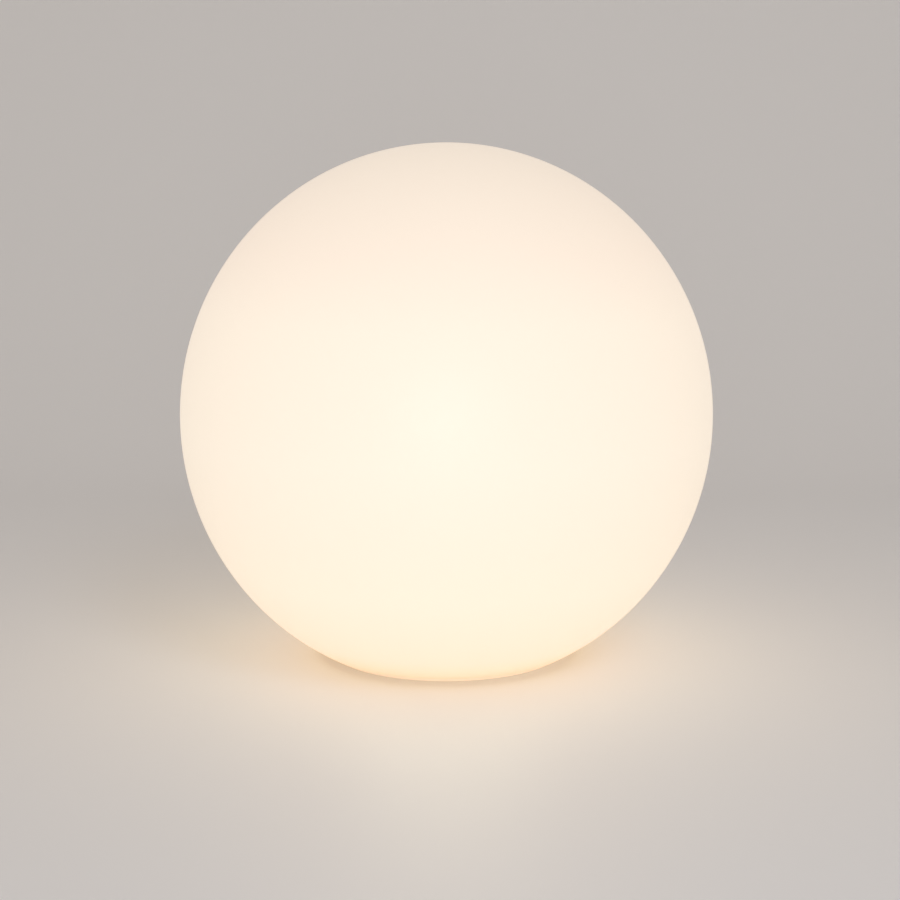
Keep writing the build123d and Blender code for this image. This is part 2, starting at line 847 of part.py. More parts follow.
with BuildPart() as charge_inductor:
    with BuildSketch(Plane.XY.offset(board_top_z)):
        with Locations(coil_spot):
            RectangleRounded(coil_size, coil_size, coil_corner)
    extrude(amount=coil_height)
    with BuildSketch(Plane.XY.offset(board_top_z + coil_height)):
        with Locations(coil_spot):
            Circle(coil_window_radius)
    extrude(amount=-coil_window_depth, mode=Mode.SUBTRACT)
charge_inductor.part.label = "charge_inductor"
export_step(charge_inductor.part, "parts/charge_inductor.step")

with BuildPart() as capacitors:
    with BuildSketch(Plane.XY.offset(board_top_z)):
        with Locations(*can_spots):
            Rectangle(can_foot, can_foot)
    extrude(amount=can_foot_height)
    with BuildSketch(Plane.XY.offset(board_top_z + can_foot_height)):
        with Locations(*can_spots):
            Circle(can_radius)
    extrude(amount=can_height - can_foot_height)
    fillet(edges_at(capacitors, board_top_z + can_height), radius=can_round)
    with BuildSketch(Plane.XY.offset(board_top_z + can_foot_height + can_groove_rise)):
        with Locations(*can_spots):
            Circle(can_radius)
            Circle(can_radius - can_groove, mode=Mode.SUBTRACT)
    extrude(amount=can_groove, mode=Mode.SUBTRACT)
capacitors.part.label = "capacitors"
export_step(capacitors.part, "parts/capacitors.step")

with BuildPart() as power_switch:
    with BuildSketch(Plane.XY.offset(switch_z)):
        with Locations((0, -control_offset)):
            RectangleRounded(switch_size, switch_size, switch_corner)
    extrude(amount=switch_height)
    with BuildSketch(Plane.XY.offset(switch_z)):
        with Locations((0, -control_offset)):
            Circle(plunger_radius + plunger_gap)
    extrude(amount=plunger_engage + button_travel + plunger_gap, mode=Mode.SUBTRACT)
power_switch.part.label = "power_switch"
export_step(power_switch.part, "parts/power_switch.step")

# Drawn shell with the contact tongue standing in its mouth
with BuildPart() as charge_socket:
    with BuildSketch(Plane.XY.offset(roof_z)):
        with Locations((0, control_offset)):
            SlotOverall(socket_width, socket_height)
    extrude(amount=board_z - roof_z)
    with BuildSketch(Plane.XY.offset(roof_z)):
        with Locations((0, control_offset)):
            SlotOverall(socket_width - 2 * socket_wall, socket_height - 2 * socket_wall)
    extrude(amount=board_z - roof_z - socket_back, mode=Mode.SUBTRACT)
    with BuildSketch(Plane.XY.offset(roof_z + tongue_short)):
        with Locations((0, control_offset)):
            Rectangle(tongue_width, tongue_thick)
    extrude(amount=board_z - roof_z - tongue_short - socket_back / 2)
charge_socket.part.label = "charge_socket"
export_step(charge_socket.part, "parts/charge_socket.step")

with BuildPart() as status_led:
    with BuildSketch(Plane.XY.offset(board_z - led_height)):
        with Locations((pipe_offset, -control_offset)):
            Rectangle(led_length, led_width)
    extrude(amount=led_height)
status_led.part.label = "status_led"
export_step(status_led.part, "parts/status_led.step")

with BuildPart() as lead_socket:
    with BuildSketch(Plane.XY.offset(board_top_z)):
        with Locations((lead_x, 0)):
            RectangleRounded(lead_socket_width, lead_socket_length, lead_socket_corner)
    extrude(amount=lead_socket_height)
    with BuildSketch(Plane.XY.offset(board_top_z + lead_socket_height)):
        with Locations((lead_x, 0)):
            with GridLocations(0, lead_spacing, 1, 2):
                Circle(lead_radius)
    extrude(amount=-lead_engage, mode=Mode.SUBTRACT)
lead_socket.part.label = "lead_socket"
export_step(lead_socket.part, "parts/lead_socket.step")

# Hexagon spacers: a stud through the board into the cup's post, and a thread for the cradle's screw on top
with BuildPart() as board_spacers:
    with BuildSketch(Plane.XY.offset(board_top_z)):
        with GridLocations(2 * post_x, 2 * post_side, 2, 2):
            RegularPolygon(spacer_flats / 2, 6, major_radius=False)
    extrude(amount=spacer_length)
    with BuildSketch(Plane.XY.offset(board_z - stud_length)):
        with GridLocations(2 * post_x, 2 * post_side, 2, 2):
            Circle(stud_radius)
    extrude(amount=stud_length + board_thick)
    with BuildSketch(Plane.XY.offset(cradle_z)):
        with GridLocations(2 * post_x, 2 * post_side, 2, 2):
            Circle(small_screw_radius + thread_gap)
    extrude(amount=-spacer_thread_depth, mode=Mode.SUBTRACT)
board_spacers.part.label = "board_spacers"
export_step(board_spacers.part, "parts/board_spacers.step")

# ---------------------------------------------------------------- cells in their cradle

# Two troughs drawn as one section, on a floor with four screw tabs and an upright at each end
with BuildPart() as battery_cradle:
    with BuildSketch(Plane.XZ.offset(-cells_half_length)):
        with Locations((0, cradle_z)):
            Rectangle(2 * cell_x, trough_top_z - cradle_z, align=(Align.CENTER, Align.MIN))
        with Locations((-cell_x, cell_z), (cell_x, cell_z)):
            Circle(trough_radius + trough_wall)
        with Locations((0, trough_top_z)):
            Rectangle(trough_trim, 2 * trough_radius, align=(Align.CENTER, Align.MIN), mode=Mode.SUBTRACT)
        with Locations((0, cradle_z)):
            Rectangle(trough_trim, trough_wall, align=(Align.CENTER, Align.MAX), mode=Mode.SUBTRACT)
        with Locations((-cell_x, cell_z), (cell_x, cell_z)):
            Circle(trough_radius, mode=Mode.SUBTRACT)
    extrude(amount=cell_length)
    with BuildSketch(Plane.XY.offset(cradle_z)):
        Rectangle(2 * cradle_end_half_width, 2 * cradle_half_length)
        with GridLocations(2 * post_x, 2 * post_side, 2, 2):
            Rectangle(tab_size, tab_size)
        with GridLocations(2 * (post_x - tab_size / 2), 2 * post_side, 2, 2):
            Rectangle(tab_size, tab_size)
        with GridLocations(2 * post_x, 2 * post_side, 2, 2):
            Circle(small_screw_radius + screw_hole_gap, mode=Mode.SUBTRACT)
    extrude(amount=trough_floor)
    for side in (-1, 1):
        with BuildSketch(Plane.XY.offset(cradle_z)):
            with Locations((0, side * (cradle_end_y + cradle_end_wall / 2))):
                Rectangle(2 * cradle_end_half_width, cradle_end_wall)
        extrude(amount=cell_z + cradle_end_height - cradle_z)
        with BuildSketch(Plane.XY.offset(cradle_z)):
            with Locations((0, side * (cells_half_length + link_thick / 2))):
                Rectangle(link_tail + 2 * link_slot_gap, link_thick + 2 * link_slot_gap)
        extrude(amount=trough_floor, mode=Mode.SUBTRACT)
battery_cradle.part.label = "battery_cradle"
export_step(battery_cradle.part, "parts/battery_cradle.step")

cradle_screw = screw_shape(
    small_head_radius, small_head, small_head_radius, small_screw_radius, cradle_screw_length
)
with BuildPart() as cradle_screws:
    with Locations((0, 0, cradle_z + trough_floor + small_head)):
        with GridLocations(2 * post_x, 2 * post_side, 2, 2):
            add(cradle_screw)
cradle_screws.part.label = "cradle_screws"
export_step(cradle_screws.part, "parts/cradle_screws.step")

for number, side in ((1, -1), (2, 1)):
    can_end = cells_half_length - cell_cap_height
    with BuildPart() as battery_cell:
        with BuildSketch(Plane.XZ.offset(-can_end)):
            with Locations((side * cell_x, cell_z)):
                Circle(cell_radius)
        extrude(amount=can_end + cells_half_length)
        fillet(battery_cell.edges().filter_by(GeomType.CIRCLE), radius=cell_edge_round)
        with BuildSketch(Plane.XZ.offset(-cells_half_length)):
            with Locations((side * cell_x, cell_z)):
                Circle(cell_cap_radius)
        extrude(amount=cell_cap_height)
    battery_cell.part.label = f"battery_cell_{number}"
    export_step(battery_cell.part, f"parts/battery_cell_{number}.step")

# Nickel strips across the cells' ends, each with a tail down through the cradle to the board
with BuildPart() as cell_links:
    for side in (-1, 1):
        with BuildSketch(facing(side * 90, cells_half_length, 0)):
            with Locations((0, cell_z)):
                Rectangle(2 * (cell_x + link_reach), link_height)
            with Locations((0, board_top_z)):
                Rectangle(link_tail, cell_z - board_top_z, align=(Align.CENTER, Align.MIN))
        extrude(amount=link_thick)
cell_links.part.label = "cell_links"
export_step(cell_links.part, "parts/cell_links.step")

# ---------------------------------------------------------------- cover, mast and leads

with BuildPart() as cover_gasket_ring:
    with BuildSketch(Plane.XY.offset(cup_rim_z)):
        Circle(cup_bore + cover_gasket_inset + cover_gasket_width)
        Circle(cup_bore + cover_gasket_inset, mode=Mode.SUBTRACT)
    extrude(amount=cover_gasket)
cover_gasket_ring.part.label = "cover_gasket"
export_step(cover_gasket_ring.part, "parts/cover_gasket.step")

# Turned section: rim, low dome and the mast's socket with its ledge
with BuildPart() as top_cover:
    with BuildSketch(Plane.XZ):
        with BuildLine():
            Polyline(
                (spigot_radius - spigot_wall, cover_z),
                (dome_radius, cover_z),
                (mast_socket_radius, dome_z),
                (ledge_radius, dome_z),
                (ledge_radius, ledge_z),
                (mast_radius + mast_gap, ledge_z),
                (mast_radius + mast_gap, mast_socket_z),
                (mast_socket_radius, mast_socket_z),
                (mast_socket_radius, dome_z + cover_plate),
                (dome_radius, cover_top_z),
                (barrel_radius, cover_top_z),
                (barrel_radius, cover_z),
                (spigot_radius, cover_z),
                (spigot_radius, cup_rim_z - spigot_drop),
                (spigot_radius - spigot_wall, cup_rim_z - spigot_drop),
                close=True,
            )
        make_face()
    revolve(axis=Axis.Z)
    fillet(edges_at(top_cover, dome_z + cover_plate), radius=dome_round)
    fillet(edges_at(top_cover, cover_top_z)[-1], radius=flange_round)
    with BuildSketch(Plane.XY.offset(cup_rim_z - spigot_drop)):
        with PolarLocations(cover_post_circle, cover_post_count, start_angle=cover_post_turn):
            Circle(cover_post_radius + notch_gap)
    extrude(amount=cover_gasket + spigot_drop, mode=Mode.SUBTRACT)
    with BuildSketch(Plane.XY.offset(cover_z)):
        with PolarLocations(cover_post_circle, cover_post_count, start_angle=cover_post_turn):
            Circle(small_screw_radius + screw_hole_gap)
    extrude(amount=cover_plate, mode=Mode.SUBTRACT)
    # gussets between dome and socket, and the grub screws' holes between them
    gusset_root = mast_socket_radius - mast_socket_wall / 2
    gusset_tip = mast_socket_radius + gusset_reach
    gusset_tip_z = dome_z + cover_plate / 2 - dome_rise * gusset_reach / (dome_radius - mast_socket_radius)
    for turn in around(mast_screw_count):
        with BuildSketch(Plane.XZ.rotated((0, 0, turn))):
            with BuildLine():
                Polyline(
                    (gusset_root, dome_z + cover_plate / 2),
                    (gusset_tip, gusset_tip_z),
                    (gusset_tip, gusset_tip_z + cover_plate),
                    (gusset_root, dome_z + cover_plate + gusset_height),
                    close=True,
                )
            make_face()
        extrude(amount=gusset_thick / 2, both=True)
    for turn in around(mast_screw_count, 180 / mast_screw_count):
        with BuildSketch(facing(turn, mast_socket_radius, mast_screw_z)):
            Circle(grub_radius)
        extrude(amount=mast_radius - mast_socket_radius, mode=Mode.SUBTRACT)
top_cover.part.label = "top_cover"
export_step(top_cover.part, "parts/top_cover.step")

with BuildPart() as cover_screws:
    with Locations((0, 0, cover_top_z + small_head)):
        with PolarLocations(cover_post_circle, cover_post_count, start_angle=cover_post_turn):
            add(small_screw)
cover_screws.part.label = "cover_screws"
export_step(cover_screws.part, "parts/cover_screws.step")

with BuildPart() as lead_grommet:
    with BuildSketch(Plane.XY.offset(dome_z - grommet_flange)):
        Circle(mast_bore - grommet_gap)
    extrude(amount=grommet_flange)
    with BuildSketch(Plane.XY.offset(dome_z)):
        Circle(ledge_radius)
    extrude(amount=mast_ledge)
    with BuildSketch(Plane.XY.offset(ledge_z)):
        Circle(mast_bore - grommet_gap)
    extrude(amount=grommet_flange)
    with GridLocations(0, lead_spacing, 1, 2):
        with Locations((0, 0, ledge_z + grommet_flange)):
            Hole(lead_radius)
lead_grommet.part.label = "lead_grommet"
export_step(lead_grommet.part, "parts/lead_grommet.step")

with BuildPart() as mast_tube:
    with BuildSketch(Plane.XY.offset(ledge_z)):
        Circle(mast_radius)
        Circle(mast_bore, mode=Mode.SUBTRACT)
    extrude(amount=mast_top_z - ledge_z)
mast_tube.part.label = "mast_tube"
export_step(mast_tube.part, "parts/mast_tube.step")

mast_grub = grub_shape(mast_socket_radius - mast_radius)
with BuildPart() as mast_screws:
    for turn in around(mast_screw_count, 180 / mast_screw_count):
        with Locations(facing(turn, mast_socket_radius, mast_screw_z)):
            add(mast_grub)
mast_screws.part.label = "mast_screws"
export_step(mast_screws.part, "parts/mast_screws.step")

# Lamp leads: up beside the cells, over them and up the mast to the top board
for name, side in (("lamp_lead_plus", 1), ("lamp_lead_minus", -1)):
    with BuildPart() as lamp_lead:
        with BuildLine() as route:
            FilletPolyline(
                (lead_x, side * lead_spacing / 2, board_top_z + lead_socket_height - lead_engage),
                (lead_x, side * lead_spacing / 2, lead_turn_z),
                (0, side * lead_spacing / 2, lead_turn_z + lead_rise),
                (0, side * lead_spacing / 2, column_top_z),
                radius=(lead_bend, lead_turn),
            )
        with BuildSketch(Plane(origin=route.line @ 0, z_dir=route.line % 0)):
            Circle(lead_radius)
        sweep()
    lamp_lead.part.label = name
    export_step(lamp_lead.part, f"parts/{name}.step")

# ---------------------------------------------------------------- lamp head

# Radial fins under a plate, round a core that is bored for the mast below and for the column above
with BuildPart() as heat_sink:
    with BuildSketch(Plane.XY.offset(sink_z)):
        Circle(sink_core_radius)
        with PolarLocations(sink_radius / 2, fin_count):
            Rectangle(sink_radius, fin_thick)
        with PolarLocations(lamp_screw_circle, lamp_screw_count, start_angle=lamp_screw_turn):
            Circle(lamp_post_radius)
        Circle(sink_radius, mode=Mode.INTERSECT)
    extrude(amount=sink_height)
    with BuildSketch(Plane.XY.offset(sink_top_z)):
        Circle(sink_radius)
    extrude(amount=-sink_plate)
    with BuildSketch(Plane.XY.offset(sink_z)):
        Circle(mast_radius + mast_gap)
    extrude(amount=sink_mast_depth, mode=Mode.SUBTRACT)
    with BuildSketch(Plane.XY.offset(sink_top_z)):
        Circle(column_spigot_radius)
    extrude(amount=-column_spigot, mode=Mode.SUBTRACT)
    with Locations((0, 0, sink_top_z)):
        Hole(column_bore_radius)
    with BuildSketch(Plane.XY.offset(sink_top_z)):
        with PolarLocations(lamp_screw_circle, lamp_screw_count, start_angle=lamp_screw_turn):
            Circle(small_screw_radius)
    extrude(amount=lamp_base_plate - small_screw_length, mode=Mode.SUBTRACT)
    for turn in around(sink_screw_count, 180 / fin_count):
        with BuildSketch(facing(turn, sink_core_radius, sink_z + sink_mast_depth / 2)):
            Circle(grub_radius)
        extrude(amount=mast_radius - sink_core_radius, mode=Mode.SUBTRACT)
heat_sink.part.label = "heat_sink"
export_step(heat_sink.part, "parts/heat_sink.step")

sink_grub = grub_shape(sink_core_radius - mast_radius)
with BuildPart() as sink_screws:
    for turn in around(sink_screw_count, 180 / fin_count):
        with Locations(facing(turn, sink_core_radius, sink_z + sink_mast_depth / 2)):
            add(sink_grub)
sink_screws.part.label = "sink_screws"
export_step(sink_screws.part, "parts/sink_screws.step")

locator_radius = diffuser_radius - diffuser_wall - locator_gap
with BuildPart() as lamp_base:
    with BuildSketch(Plane.XY.offset(sink_top_z)):
        Circle(lamp_base_radius)
    extrude(amount=lamp_base_plate)
    with BuildSketch(Plane.XY.offset(diffuser_z)):
        Circle(locator_radius)
        Circle(locator_radius - locator_wall, mode=Mode.SUBTRACT)
    extrude(amount=locator_height)
    with BuildSketch(Plane.XY.offset(sink_top_z)):
        RegularPolygon(column_flats / 2 + strip_side_gap, 6, major_radius=False)
        with PolarLocations(lamp_screw_circle, lamp_screw_count, start_angle=lamp_screw_turn):
            Circle(small_screw_radius + screw_hole_gap)
    extrude(amount=lamp_base_plate, mode=Mode.SUBTRACT)
lamp_base.part.label = "lamp_base"
export_step(lamp_base.part, "parts/lamp_base.step")

with BuildPart() as base_screws:
    with Locations((0, 0, diffuser_z + small_head)):
        with PolarLocations(lamp_screw_circle, lamp_screw_count, start_angle=lamp_screw_turn):
            add(small_screw)
base_screws.part.label = "base_screws"
export_step(base_screws.part, "parts/base_screws.step")

# Hexagonal extrusion with a shallow bed for a board on each flat, and a spigot into the heat sink
with BuildPart() as led_column:
    with BuildSketch(Plane.XY.offset(sink_top_z)) as column_outline:
        RegularPolygon(column_flats / 2, strip_count, major_radius=False)
        with PolarLocations(column_flats / 2, strip_count, start_angle=180 / strip_count):
            Rectangle(2 * column_rebate, strip_width + 2 * strip_side_gap, mode=Mode.SUBTRACT)
    extrude(amount=column_height)
    with BuildSketch(Plane.XY.offset(sink_top_z - column_spigot)):
        Circle(column_spigot_radius)
    extrude(amount=column_spigot)
    with Locations((0, 0, column_top_z)):
        Hole(column_bore_radius)
led_column.part.label = "led_column"
export_step(led_column.part, "parts/led_column.step")

for number, turn in enumerate(around(strip_count, 180 / strip_count), start=1):
    with BuildPart() as led_board:
        with BuildSketch(facing(turn, strip_face, strip_z)):
            RectangleRounded(strip_width, strip_height, strip_corner)
        extrude(amount=strip_thick)
    led_board.part.label = f"led_board_{number}"
    export_step(led_board.part, f"parts/led_board_{number}.step")

with BuildPart() as led_chips:
    for turn in around(strip_count, 180 / strip_count):
        with BuildSketch(facing(turn, strip_face + strip_thick, strip_z)):
            with GridLocations(0, strip_height / emitter_rows, 1, emitter_rows):
                Rectangle(emitter_size, emitter_size)
        extrude(amount=emitter_height)
        with BuildSketch(facing(turn, strip_face + strip_thick + emitter_height, strip_z)):
            with GridLocations(0, strip_height / emitter_rows, 1, emitter_rows):
                Circle(emitter_dish_radius)
        extrude(amount=-emitter_dish_depth, mode=Mode.SUBTRACT)
led_chips.part.label = "led_chips"
export_step(led_chips.part, "parts/led_chips.step")

with BuildPart() as top_led_board:
    with BuildSketch(Plane.XY.offset(column_top_z)):
        Circle(top_board_radius)
    extrude(amount=strip_thick)
top_led_board.part.label = "top_led_board"
export_step(top_led_board.part, "parts/top_led_board.step")

with BuildPart() as top_led_chips:
    with BuildSketch(Plane.XY.offset(top_board_z)):
        with PolarLocations(top_emitter_circle, top_emitter_count):
            Rectangle(emitter_size, emitter_size)
    extrude(amount=emitter_height)
    with BuildSketch(Plane.XY.offset(top_board_z + emitter_height)):
        with PolarLocations(top_emitter_circle, top_emitter_count):
            Circle(emitter_dish_radius)
    extrude(amount=-emitter_dish_depth, mode=Mode.SUBTRACT)
top_led_chips.part.label = "top_led_chips"
export_step(top_led_chips.part, "parts/top_led_chips.step")

# Frosted dome: a straight skirt with a lip, closed by half a sphere
diffuser_arc_z = diffuser_z + diffuser_height - diffuser_radius
diffuser_bore = diffuser_radius - diffuser_wall
with BuildPart() as lamp_diffuser:
    with BuildSketch(Plane.XZ):
        with BuildLine():
            Polyline(
                (0, diffuser_arc_z + diffuser_radius),
                (0, diffuser_arc_z + diffuser_bore),
            )
            CenterArc((0, diffuser_arc_z), diffuser_bore, 0, 90)
            Polyline(
                (diffuser_bore, diffuser_arc_z),
                (diffuser_bore, diffuser_z),
                (diffuser_radius + diffuser_lip, diffuser_z),
                (diffuser_radius + diffuser_lip, clamp_z),
                (diffuser_radius, clamp_z),
                (diffuser_radius, diffuser_arc_z),
            )
            CenterArc((0, diffuser_arc_z), diffuser_radius, 0, 90)
        make_face()
    revolve(axis=Axis.Z)
lamp_diffuser.part.label = "lamp_diffuser"
export_step(lamp_diffuser.part, "parts/lamp_diffuser.step")

# Snap ring: its lip holds the dome down and its hook catches under the lamp base
with BuildPart() as diffuser_ring:
    with BuildSketch(Plane.XZ):
        with BuildLine():
            Polyline(
                (diffuser_radius + clamp_gap, clamp_z),
                (lamp_base_radius, clamp_z),
                (lamp_base_radius, sink_top_z),
                (lamp_base_radius - clamp_hook, sink_top_z),
                (lamp_base_radius - clamp_hook, sink_top_z - clamp_hook_height),
                (lamp_base_radius + clamp_wall, sink_top_z - clamp_hook_height),
                (lamp_base_radius + clamp_wall, clamp_z + clamp_lip),
                (diffuser_radius + clamp_gap, clamp_z + clamp_lip),
                close=True,
            )
        make_face()
    revolve(axis=Axis.Z)
    fillet(edges_at(diffuser_ring, clamp_z + clamp_lip)[-1], radius=flange_round)
diffuser_ring.part.label = "diffuser_ring"
export_step(diffuser_ring.part, "parts/diffuser_ring.step")
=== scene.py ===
"""Looks of the garden globe light: a glowing moulded ball on a pale sweep, with the lamp unit in its neck.

Metres, Z up, origin at the middle of the flat, front towards -Y.
New pieces are surfaces worked out as whole arrays.
"""
import json
import bpy
import numpy as np
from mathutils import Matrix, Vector


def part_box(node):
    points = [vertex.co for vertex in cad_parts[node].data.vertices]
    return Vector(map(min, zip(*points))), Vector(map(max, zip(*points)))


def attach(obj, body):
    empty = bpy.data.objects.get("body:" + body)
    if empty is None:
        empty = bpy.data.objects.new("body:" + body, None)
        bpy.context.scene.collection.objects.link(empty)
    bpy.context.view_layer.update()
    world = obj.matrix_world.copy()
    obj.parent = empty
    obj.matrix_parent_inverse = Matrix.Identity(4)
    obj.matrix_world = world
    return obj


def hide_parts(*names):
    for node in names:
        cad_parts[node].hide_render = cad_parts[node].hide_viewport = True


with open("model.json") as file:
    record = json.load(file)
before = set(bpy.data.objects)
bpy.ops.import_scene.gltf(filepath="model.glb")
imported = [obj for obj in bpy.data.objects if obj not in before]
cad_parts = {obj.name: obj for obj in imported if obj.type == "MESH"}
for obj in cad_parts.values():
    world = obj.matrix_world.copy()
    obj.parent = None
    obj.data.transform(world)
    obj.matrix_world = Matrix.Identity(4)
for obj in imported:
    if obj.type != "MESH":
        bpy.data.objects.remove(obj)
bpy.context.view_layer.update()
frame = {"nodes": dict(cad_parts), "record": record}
nodes = frame["nodes"]
scene = bpy.context.scene

# ---------------------------------------------------------------- sizes, from the frame and the photograph

MM = 0.001
SIDE_SHARE = 0.45
POLE_WIDTH = 1e-9
ball_low, ball_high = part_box("globe_shell")
dome_low, dome_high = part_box("lamp_diffuser")
seal_low, seal_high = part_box("lamp_seal")

ball_radius = ball_high.x
ball_half_height = 203.8 * MM
ball_centre = ball_high.z - ball_half_height
ball_wall = 4.0 * MM
lip_radius = 74.0 * MM

# lens in millimetres, distance in metres, angles in degrees
camera_lens = 70.0
camera_distance = 1.329
camera_rise = 8.3
camera_pitch = 9.448
camera_yaw = 0.115


# ---------------------------------------------------------------- surfaces

def rounded(corners, radius):
    """Profile through the corners, each corner but the first and last turned into an arc of the radius.

    An arc starts and ends radius * tan(turn / 2) from its corner, or at most SIDE_SHARE of a side away, and
    runs as (1 - s)^2 A + 2 s (1 - s) C + s^2 B between those points A and B and the corner C.
    """
    corners = np.array(corners, float)
    radii = np.broadcast_to(radius, len(corners))
    points = 5
    s = np.linspace(0, 1, points)[:, None]
    runs = [corners[:1]]
    for before, corner, after, size in zip(corners, corners[1:], corners[2:], radii[1:]):
        back, ahead = before - corner, after - corner
        back_length, ahead_length = np.linalg.norm(back), np.linalg.norm(ahead)
        cosine = np.clip(back @ ahead / (back_length * ahead_length), -1, 1)
        half_turn = (np.pi - np.arccos(cosine)) / 2
        reach = min(size * np.tan(half_turn), SIDE_SHARE * back_length, SIDE_SHARE * ahead_length)
        start, end = corner + back / back_length * reach, corner + ahead / ahead_length * reach
        runs.append((1 - s) ** 2 * start + 2 * s * (1 - s) * corner + s ** 2 * end)
    runs.append(corners[-1:])
    return np.concatenate(runs)


def turned(profile, turns):
    """Grid P(u, v) = (r(u) cos v, r(u) sin v, z(u)) of a profile of (r, z) points turned about Z."""
    profile = np.asarray(profile, float)
    v = np.linspace(0, 2 * np.pi, turns, endpoint=False)
    r, z = profile[:, :1], profile[:, 1:]
    return np.stack([r * np.cos(v), r * np.sin(v), z + 0 * v], axis=-1)


def grid_faces(rows, columns, closed):
    """Corner numbers of a grid's quads: columns always wrap round, rows only if the profile is closed."""
    row = np.arange(rows if closed else rows - 1)[:, None]
    column = np.arange(columns)[None, :]
    after = (row + 1) % rows
    beside = (column + 1) % columns
    near, far = row * columns, after * columns
    corners = [near + column, near + beside, far + beside, far + column]
    return np.stack(np.broadcast_arrays(*corners), axis=-1).reshape(-1, 4)


def solid(name, grids, slot, body, replaces=(), closed=False):
    """Mesh piece from one or several grids. Rows that shrink to a point become one pole.

    Faces look outwards, because a grid whose signed volume is negative has its quads reversed.
    """
    vertices, faces, count = [], [], 0
    for grid in grids:
        rows, columns = grid.shape[:2]
        quads = grid_faces(rows, columns, closed)
        points = grid.reshape(-1, 3)
        number = np.arange(len(points))
        poles = np.ptp(grid, axis=1).max(axis=1) < POLE_WIDTH
        for pole in np.flatnonzero(poles):
            number[pole * columns:(pole + 1) * columns] = pole * columns
        quads = number[quads]
        a, b, c, d = (points[quads[:, k]] for k in range(4))
        volume = np.einsum("ij,ij->", a, np.cross(b, c)) + np.einsum("ij,ij->", a, np.cross(c, d))
        if volume < 0:
            quads = quads[:, ::-1]
        used, compact = np.unique(quads, return_inverse=True)
        vertices.append(points[used])
        faces.append(compact.reshape(-1, 4) + count)
        count += len(used)
    corners = np.concatenate(faces)
    polygons = [list(dict.fromkeys(face)) for face in corners.tolist()]
    mesh = bpy.data.meshes.new(name)
    mesh.from_pydata(np.concatenate(vertices).tolist(), [], polygons)
    mesh.shade_smooth()
    mesh.validate()
    piece = bpy.data.objects.new(name, mesh)
    scene.collection.objects.link(piece)
    mesh.materials.append(finishes[slot])
    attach(piece, body)
    if replaces:
        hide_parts(*replaces)


# ---------------------------------------------------------------- node trees

def finish(name, colour, roughness, **sockets):
    """New material with its node tree and shader. Uniform values are set on the shader's own sockets."""
    material = bpy.data.materials.new(name)
    material.use_nodes = True
    shader = material.node_tree.nodes["Principled BSDF"]
    shader.inputs["Base Color"].default_value = (*colour, 1)
    shader.inputs["Roughness"].default_value = roughness
    for socket, value in sockets.items():
        shader.inputs[socket.replace("_", " ")].default_value = value
    return material, material.node_tree, shader


def node(tree, kind, **values):
    """Node of that kind, with its properties or input sockets set by name."""
    made = tree.nodes.new(kind)
    for key, value in values.items():
        if hasattr(made, key):
            setattr(made, key, value)
        else:
            made.inputs[key.replace("_", " ")].default_value = value
    return made


def object_point(tree):
    """The surface point in the object's own coordinates."""
    return node(tree, "ShaderNodeTexCoord").outputs["Object"]


def speckle(tree, point, scale, detail=3.0):
    """Noise value over the object's points; scale is in features per metre."""
    made = node(tree, "ShaderNodeTexNoise", Scale=scale, Detail=detail, Roughness=0.6)
    tree.links.new(point, made.inputs["Vector"])
    return made.outputs["Fac"]


def ramp(tree, value, *stops):
    """Colour ramp through (position, colour) stops."""
    made = node(tree, "ShaderNodeValToRGB")
    elements = made.color_ramp.elements
    while len(elements) < len(stops):
        elements.new(0.5)
    for element, (position, colour) in zip(elements, stops):
        element.position = position
        element.color = (*colour, 1)
    tree.links.new(value, made.inputs["Fac"])
    return made.outputs["Color"]


def spread(tree, value, low, high, to_low, to_high):
    """Value remapped from low..high to to_low..to_high, held at its ends."""
    made = node(tree, "ShaderNodeMapRange")
    for socket, number in zip(("From Min", "From Max", "To Min", "To Max"), (low, high, to_low, to_high)):
        made.inputs[socket].default_value = number
    tree.links.new(value, made.inputs["Value"])
    return made.outputs["Result"]


def bumped(tree, shader, height, distance):
    """Adds the height as bump of that depth."""
    made = node(tree, "ShaderNodeBump", Strength=1.0, Distance=distance)
    tree.links.new(height, made.inputs["Height"])
    tree.links.new(made.outputs["Normal"], shader.inputs["Normal"])


def height_of(tree, point):
    """The Z of a point."""
    made = node(tree, "ShaderNodeSeparateXYZ")
    tree.links.new(point, made.inputs["Vector"])
    return made.outputs["Z"]


def tinted(tree, shader, value, dark, light):
    """Base colour from dark to light over the noise's middle values."""
    tree.links.new(ramp(tree, value, (0.3, dark), (0.7, light)), shader.inputs["Base Color"])


def worn(tree, shader, value, smooth, rough, low=0.3, high=0.7):
    """Roughness from smooth to rough as the value goes from low to high."""
    tree.links.new(spread(tree, value, low, high, smooth, rough), shader.inputs["Roughness"])


def stretched(tree, point, scale):
    """The point with each axis scaled by its own number, for a pattern that runs along one way."""
    made = node(tree, "ShaderNodeMapping")
    made.inputs["Scale"].default_value = scale
    tree.links.new(point, made.inputs["Vector"])
    return made.outputs["Vector"]


def shades(tone, change):
    """The tone a little darker and a little lighter."""
    return tuple(c * (1 - change) for c in tone), tuple(min(c * (1 + change), 1.0) for c in tone)


